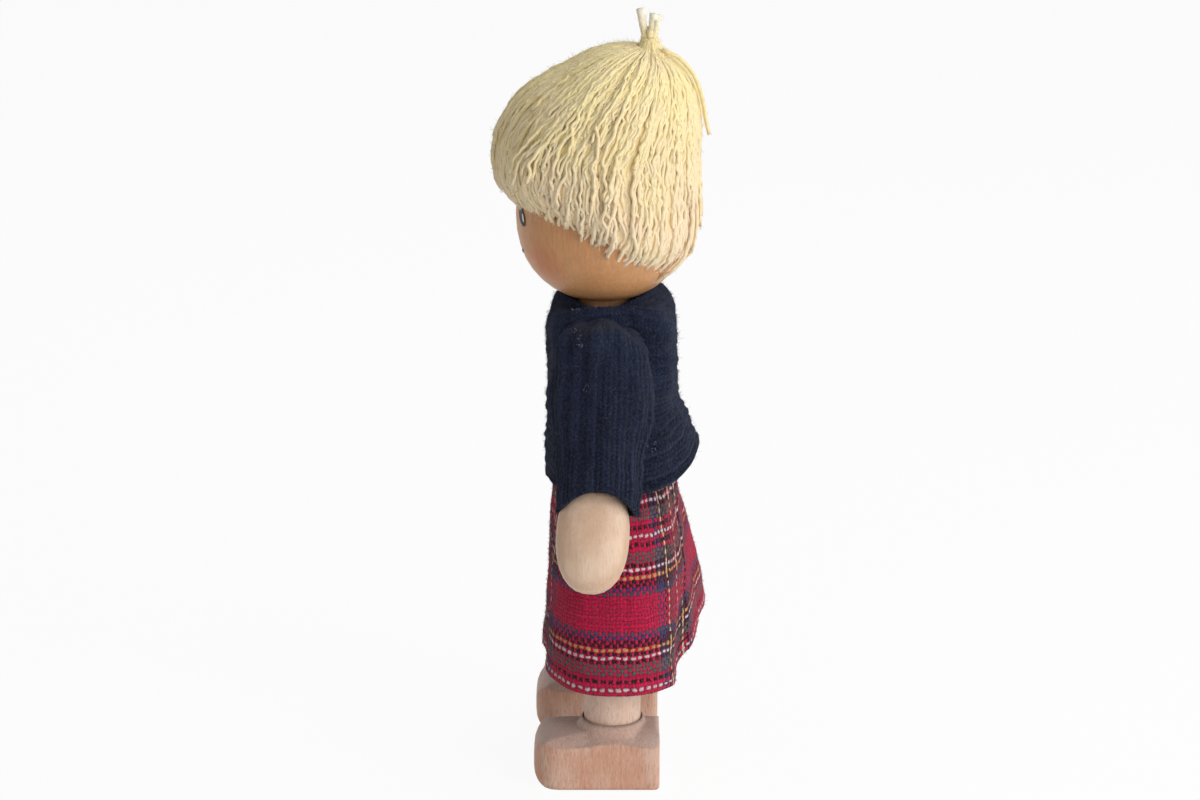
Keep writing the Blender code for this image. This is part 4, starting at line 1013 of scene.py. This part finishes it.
def make_sweater(finish):
    """The body in two layers with open armholes, its neckband and its wool."""
    columns, rows = 144, 176
    base = curve_rows(sweater_rows(columns), rows)
    out = normals(base)
    along = distances(base)
    up = (along[-1] - along)[:, None]
    drape = smooth_noise(base, 7.0, 1) * 0.7 + smooth_noise(base, 2.6, 2) * 0.4
    waver = smooth_noise(base * (1, 1, 0.2), 3.0, 3)
    height = rib(up + 0.45 * waver, BODY_RIB)
    crisp = between(BODY_RIB_DEPTH, HEM_RIB_DEPTH, smoothstep((16 - up) / 10))
    outer = base + out * ((height - RIB_LEVEL) * crisp + drape * smoothstep(up / 1.5))[..., None]
    outer[-1] -= out[-1] * HEM_ROLL
    points = np.concatenate([outer, (base - out * KNIT)[::-1]])
    around = distances(np.append(base[-1], base[-1, :1], axis=0))
    v = np.concatenate([up, up[::-1]])
    quads, uv = grid(points, around, v, looped=True)
    centre = (outer[:-1] + outer[1:]) / 2
    hole = np.hypot(centre[..., 1] - NECK_Y, centre[..., 2] - SHOULDER[2]) < ARMHOLE
    hole &= np.abs(centre[..., 0]) > ARMHOLE_FROM
    solid = np.zeros((1, columns), bool)
    keep = ~np.concatenate([hole, solid, hole[::-1], solid]).ravel()
    walls = armhole_walls(hole, rows, columns)
    flat_uv = np.stack([np.tile(around[:-1], 2 * rows), np.repeat(v, columns)], -1)
    body = mesh_object("sweater", points, [quads[keep], walls], finish, [uv[keep], flat_uv[walls]])
    dress(body, "torso", "sweater_body")
    shown = ~hole & (np.arange(rows - 1) > 2)[:, None]
    add_wool("sweater", "torso", outer[:-1][shown], normals(outer)[:-1][shown], SWEATER_FIBRES)
    collar = make_neckband(finish)


def make_neckband(finish):
    """A ribbed tube, flat and wide on its inner side, which slopes down to the neck."""
    around, ring = turns(240), turns(14)
    line = neckband_line(around)
    ahead = unit(np.roll(line, -1, axis=0) - np.roll(line, 1, axis=0))
    level = square_to(ahead, xyz(np.cos(around), np.sin(around), 0.0))
    upward = np.cross(ahead, level)
    girth = distances(line)
    bumps = NECK_RADIUS + NECK_RIB_DEPTH * np.abs(np.sin(np.pi * girth / NECK_RIB))
    spread = np.where(np.cos(ring) < 0, NECK_IN, NECK_OUT) * np.cos(ring)
    section = spread[:, None, None] * level + np.sin(ring)[:, None, None] * upward
    tube = line + bumps[:, None] * section
    tube[..., 2] += NECK_SLOPE * np.minimum(spread, 0.0)[:, None]
    tube += normals(tube) * (smooth_noise(tube, 1.4, 4) * 0.12)[..., None]
    u, v = np.append(girth, girth[-1] + 0.2), (ring * NECK_TUBE)[:, None]
    collar = surface("neckband", tube, u, v, finish, looped=True)
    dress(collar, "torso", "sweater_neckband")
    add_wool("neckband", "torso", tube, normals(tube), NECK_FIBRES)
    return collar


def sleeve_depth(share):
    """Half the sleeve's depth, which swells below the shoulder and draws in to the cuff."""
    return CUFF_DEPTH + SWELL * math.exp(-(((share - SWELL_AT) / SWELL_HALF) ** 2))


def sleeve_rows(angle):
    """Rows of points from the sleeve's head to its cuff, round the shoulder's peg."""
    rows = []
    for turn in np.radians(np.linspace(86, 6, 13)):
        spread = math.cos(turn) ** 0.85
        depth = sleeve_depth(0) * spread
        x, y = oval(angle, SLEEVE_SIDE * spread, depth, depth, 2.0)
        rows.append(xyz(x - SLEEVE_IN * math.sin(turn) ** 2, y, SLEEVE_TOP * math.sin(turn)))
    lift = CUFF_LIFT * np.maximum(np.cos(angle), 0.0) ** 1.5
    for share in np.linspace(0.0, 1.0, 60):
        depth = sleeve_depth(share)
        x, y = oval(angle, SLEEVE_SIDE + CUFF_WIDER * share, depth, depth, 2.0 + 0.2 * share)
        rows.append(xyz(x, y + CUFF_BACK * share, -share * (SLEEVE_LENGTH - lift)))
    return np.array(rows)


def make_sleeve(name, side, finish):
    """A sleeve in two layers, made for the left and mirrored for the right, and its wool."""
    columns = SLEEVE_RIBS * RIB_STEPS
    base = sleeve_rows(turns(columns))
    out = normals(base)
    down = np.arange(len(base))[:, None]
    drape = smooth_noise(base * (1, 1, 0.7), 6.5, 5) * 0.75 + smooth_noise(base, 2.4, 6) * 0.4
    drape += smooth_noise(base * (1, 1, 0.3), 3.0, 11) * (1 - smoothstep((down - 8) / 30))
    u = np.arange(columns + 1) / RIB_STEPS * SLEEVE_RIB * COLUMN
    waver = smooth_noise(base * (1, 1, 0.3), 4.0, 7)
    height = rib(u[:-1] + (0.3 + 1.2 * (1 - smoothstep(down / 26))) * waver, SLEEVE_RIB)
    ribbed = (height - RIB_LEVEL) * SLEEVE_RIB_DEPTH * smoothstep((down - 2) / 8)
    edge = smoothstep((len(base) - 1 - down) / 5)
    outer = base + out * (ribbed + drape * edge)[..., None]
    points = np.concatenate([outer, (base - out * KNIT)[::-1]])
    hang = Euler((-ARM_SWING, -ARM_LEAN, 0)).to_matrix()
    points = points @ np.array(hang).T
    points[..., 0] = np.maximum(points[..., 0] + SHOULDER[0], SHOULDER_FLAT)
    points += (0, SHOULDER[1], SHOULDER[2])
    along = distances(base)[:, None]
    quads, uv = grid(points, u, np.concatenate([along, along[::-1]]))
    uv = uv[..., ::-1]
    skin = points[: len(base)]
    out = normals(skin)
    shown = (down > 3) & (out[..., 0] > 0.2) & (skin[..., 0] > SLEEVE_FUZZ_FROM)
    skin, out = skin[shown], out[shown]
    if side < 0:
        points, skin, out = (row * (-1, 1, 1) for row in (points, skin, out))
        quads, uv = quads[:, ::-1], uv[:, ::-1]
    body = name + "_arm"
    made = mesh_object(name + "_knit_sleeve", points, [quads], finish, [uv])
    dress(made, body, name + "_sleeve")
    add_wool(name + "_sleeve", body, skin, out, SLEEVE_FIBRES)


# Skirt. A fold has a direction in degrees from the doll's left round by the back, a half width, a
# height, and a start as a share of the length. A rise of the hem has the first three.

SKIRT_TOP, SKIRT_HEM, SKIRT_SLANT = 60.0, 17.8, 1.03
SKIRT_FOLDS = (
    (56, 22, -3.3, 0.5), (136, 22, 4.6, 0.0), (196, 15, -1.0, 0.0), (236, 15, 0.8, 0.0),
    (286, 15, -0.5, 0.0), (318, 15, 0.6, 0.0),
)
SKIRT_RISES = ((50, 16, -1.2), (136, 58, 6.6), (285, 45, 1.5))
SKIRT_WAIST_SIDE, SKIRT_HIP_SIDE, SKIRT_HEM_SIDE = 10.1, 17.1, 21.4
SKIRT_WAIST_DEPTH, SKIRT_HEM_FRONT, SKIRT_HEM_BACK = 9.7, 12.1, 15.0
SKIRT_SQUARENESS = 2.5
GATHERS, GATHER_DEPTH, GATHER_END = 34, 0.35, 0.45
TARTAN_THICK = 0.42
LAP, LAP_LIFT = math.radians(14), 0.28
TARTAN_FUZZ = (9000, 0.5, 0.025)
ELASTIC_SIDE, ELASTIC_DEPTH, ELASTIC_SQUARENESS = 8.85, 8.45, 2.2
ELASTIC_DROP, ELASTIC_HALF_HEIGHT, ELASTIC_HALF_THICK = 2.0, 1.9, 0.33
PINCHES, PINCH = 30, 0.05


def swells(table, angle):
    """The sum of rounded swells at an angle, each with a direction, half width and height."""
    total = 0.0
    for direction, half_width, height in table:
        away = (np.degrees(angle) - direction + 180) % 360 - 180
        total = total + height * np.exp(-((away / half_width) ** 2))
    return total


def fold_depth(angle, share):
    """How far the folds push the cloth out."""
    return sum(
        swells([swell], angle) * smoothstep((share - start) / (1 - start)) for *swell, start in SKIRT_FOLDS
    )


def skirt_points(angle, share):
    """The cloth's outer side at angles in radians, and at shares of the way from waist to hem."""
    hem = SKIRT_HEM + swells(SKIRT_RISES, angle)
    z = between(SKIRT_TOP, hem, share)
    over_hip = between(SKIRT_WAIST_SIDE, SKIRT_HIP_SIDE, (SKIRT_TOP - z) / (SKIRT_TOP - HIP))
    under_hip = between(SKIRT_HIP_SIDE, SKIRT_HEM_SIDE, (HIP - z) / (HIP - hem))
    side = np.where(z > HIP, over_hip, under_hip)
    front = between(SKIRT_WAIST_DEPTH, SKIRT_HEM_FRONT, share)
    back = between(SKIRT_WAIST_DEPTH, SKIRT_HEM_BACK, share)
    x, y = oval(angle, side, front, back, SKIRT_SQUARENESS)
    gathers = GATHER_DEPTH * np.cos(GATHERS * angle) * (1 - smoothstep(share / GATHER_END))
    out = 1 + (fold_depth(angle, share) + gathers) / np.hypot(x, y)
    return xyz(x * out, y * out + BODY_Y, z)


def rim_quads(rows, columns):
    """Quads round the edges of two layers, each with the same rows and columns of points."""
    corner = np.arange(rows * columns).reshape(rows, columns)
    strips = []
    for line in (corner[-1], corner[0, ::-1], corner[:, 0], corner[::-1, -1]):
        under = line + rows * columns
        strips.append(np.stack([line[:-1], under[:-1], under[1:], line[1:]], -1))
    return np.concatenate(strips)


def make_skirt(finish, waistband):
    """Two halves of cloth that lap at the front and the back."""
    fibre = wool_fibre("tartan_fibre", rgb(150, 36, 66), rgb(176, 112, 130))
    columns, rows = 150, 72
    full = np.linspace(-np.pi, np.pi, 721)
    run = distances(skirt_points(full, 1.0))
    run -= np.interp(0.0, full, run)
    for name, side in SIDES:
        middle = 0.0 if side > 0 else np.pi
        angle = np.linspace(middle - np.pi / 2 - LAP, middle + np.pi / 2 + LAP, columns)
        a, s = np.meshgrid(angle, np.linspace(0, 1, rows))
        base = skirt_points(a, s)
        out = normals(base, wrap=False)
        ripple = smooth_noise(base, 5.0, 8) * 0.35 * smoothstep(s / 0.3) + smooth_noise(base, 2.0, 9) * 0.08
        lapped = np.abs(np.abs(a - middle) - np.pi / 2) < LAP
        outer = base + out * (ripple + np.where(lapped, LAP_LIFT * side, 0.0))[..., None]
        u = np.interp((a + np.pi) % TAU - np.pi, full, run) + np.where(a > np.pi, run[-1] - run[0], 0.0)
        v = (1 - s) * (SKIRT_TOP - SKIRT_HEM) * SKIRT_SLANT
        quads, uv = grid(outer, u, v, wrap=False)
        rim = rim_quads(rows, columns)
        flat_uv = np.tile(np.stack([u, v], -1).reshape(-1, 2), (2, 1))
        points = np.concatenate([outer, outer - out * TARTAN_THICK])
        faces = [quads, quads[:, ::-1] + rows * columns, rim]
        made = mesh_object(name + "_skirt_half", points, faces, finish, [uv, uv[:, ::-1], flat_uv[rim]])
        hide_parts("skirt")
        skin, away = outer.reshape(-1, 3), out.reshape(-1, 3)
        loose = fuzz(name + "_skirt_fuzz", skin, away, *TARTAN_FUZZ, fibre)
        for piece in (made, loose):
            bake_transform(piece)


def make_elastic(finish):
    """The band that gathers the skirt, pinched between the gathers."""
    columns = 120
    angle, ring = turns(columns), turns(20)
    x, y = oval(angle, ELASTIC_SIDE, ELASTIC_DEPTH, ELASTIC_DEPTH, ELASTIC_SQUARENESS)
    thick = (ELASTIC_HALF_THICK + PINCH * np.cos(PINCHES * angle))[:, None]
    across = np.cos(ring)[:, None, None] * unit(xyz(x, y, 0.0)) * thick
    upward = np.sin(ring)[::-1][:, None, None] * np.array((0, 0, ELASTIC_HALF_HEIGHT))
    points = xyz(x, y + BODY_Y, SKIRT_TOP - ELASTIC_DROP) + (across + upward)
    made = surface("waistband", points, np.arange(columns + 1) * 0.45, ring[:, None], finish, looped=True)
    dress(made, "torso", "waist_elastic")
    return made


# The wood that shows, and the wood inside

DARK_BEECH, FOOT_DARK = rgb(164, 120, 94), rgb(164, 120, 98)
PLAIN_TONES = (rgb(230, 202, 178), rgb(212, 176, 148), DARK_BEECH)
FOOT_TONES = (rgb(226, 196, 178), rgb(206, 152, 124), FOOT_DARK)
LEG_TONES = (rgb(234, 208, 190), rgb(216, 181, 158), DARK_BEECH)
HAND_TONES = (rgb(234, 205, 179), rgb(211, 174, 145), DARK_BEECH)


def paint_wood():
    plain = beech("beech", 0.0, (14, 9), PLAIN_TONES, 0.3)
    looks = {}
    for name, side in SIDES:
        foot, leg, hand = name + "_foot", name + "_leg", name + "_hand"
        # The feet get grey painted shade on their tops
        looks[foot] = beech(foot + "_beech", 0.0, (6 * side, 30), FOOT_TONES, 0.42, greyed=0.7)
        looks[leg] = beech(leg + "_beech", side * LEG_LEAN, (9, 14), LEG_TONES, 0.35)
        looks[hand] = beech(hand + "_beech", side * ARM_LEAN, (-6 * side, 2), HAND_TONES, 0.15, 0.34)
    cheeks = [on_head(side * CHEEK_AZIMUTH, CHEEK_Z, 0.0) for _, side in SIDES]
    looks["head"] = tan_wood("head_wood", cheeks)
    looks["neck_dowel"] = tan_wood("neck_wood", ())
    for name, node in NODES.items():
        node.data.materials.clear()
        node.data.materials.append(looks.get(name, plain))


# Stage, with the lamps and the camera in metres

SKY_LIGHT = 0.30
PAPER_WHITE = 0.97
PAPER_GLOW = 0.93
PAPER_HALF = 900
LAMPS = (
    ("key", (0.42, 0.52, 0.32), 0.55, 3.4),
    ("fill", (0.50, -0.45, 0.25), 0.40, 0.16),
    ("rim", (-0.15, 0.20, 0.60), 0.40, 1.0),
)
LAMP_AIM = (0, 0, 0.07)
CAMERA_PLACE, CAMERA_AIM = (0.6694, 0.0, 0.2703), (0.0, 0.0, 0.0656)
CAMERA_LENS, CAMERA_SENSOR = 118.98, 36.0
CAMERA_NEAR, CAMERA_FAR = 0.01, 20.0


def placed(name, data, place, target):
    """A lamp or a camera in the scene, turned to a point."""
    made = bpy.data.objects.new(name, data)
    made.location = place
    made.rotation_euler = (Vector(target) - made.location).to_track_quat("-Z", "Y").to_euler()
    bpy.context.scene.collection.objects.link(made)
    return made


def make_sky():
    """Soft light from all round, in front of paper white."""
    world = bpy.data.worlds.new("studio")
    bpy.context.scene.world = world
    world.use_nodes = True
    g = Graph(world.node_tree)
    sky = g.tree.nodes["Background"]
    sky.inputs["Color"].default_value = (1.0, 1.0, 1.0, 1.0)
    level = g.remap(g.seen_directly(), 0.0, 1.0, SKY_LIGHT, PAPER_WHITE)
    g.link(level, sky.inputs["Strength"])


def make_floor():
    """White paper that takes shadows and shines a little by itself, so that it runs into the sky."""
    g = Look("paper", 0.9, specular=0.1)
    g.colour = g.mix(g.noise(0.01), (0.97, 0.97, 0.97, 1), (0.99, 0.99, 0.99, 1))
    g.finish()
    glow = g.node("Emission", {"Color": (1, 1, 1, 1), "Strength": 1.0})
    share = g.times(g.seen_directly(), PAPER_GLOW)
    blend = g.node("MixShader", {0: share, 1: g.shader.outputs[0], 2: glow.outputs[0]})
    g.link(blend.outputs[0], g.tree.nodes["Material Output"].inputs["Surface"])
    points = PAPER_HALF * np.array([(-1, -1, 0), (1, -1, 0), (1, 1, 0), (-1, 1, 0)])
    mesh_object("floor", points, [[(0, 1, 2, 3)]], g.material)


def make_lamps():
    for name, place, size, power in LAMPS:
        lamp = bpy.data.lights.new(name, "AREA")
        lamp.size = size
        lamp.energy = power
        placed(name, lamp, place, LAMP_AIM)


def make_camera():
    camera = bpy.data.cameras.new("camera")
    camera.sensor_width = CAMERA_SENSOR
    camera.lens = CAMERA_LENS
    camera.clip_start, camera.clip_end = CAMERA_NEAR, CAMERA_FAR
    bpy.context.scene.camera = placed("camera", camera, CAMERA_PLACE, CAMERA_AIM)


make_camera()
make_sky()
make_floor()
make_lamps()
paint_wood()
make_face()
make_hair()
make_sweater(knit("navy_knit", BODY_RIB))
SLEEVE_KNIT = knit("navy_sleeve_knit", SLEEVE_RIB)
for side_name, side_sign in SIDES:
    make_sleeve(side_name, side_sign, SLEEVE_KNIT)
make_skirt(tartan(), make_elastic(band()))

bpy.context.scene.view_settings.view_transform = "Standard"
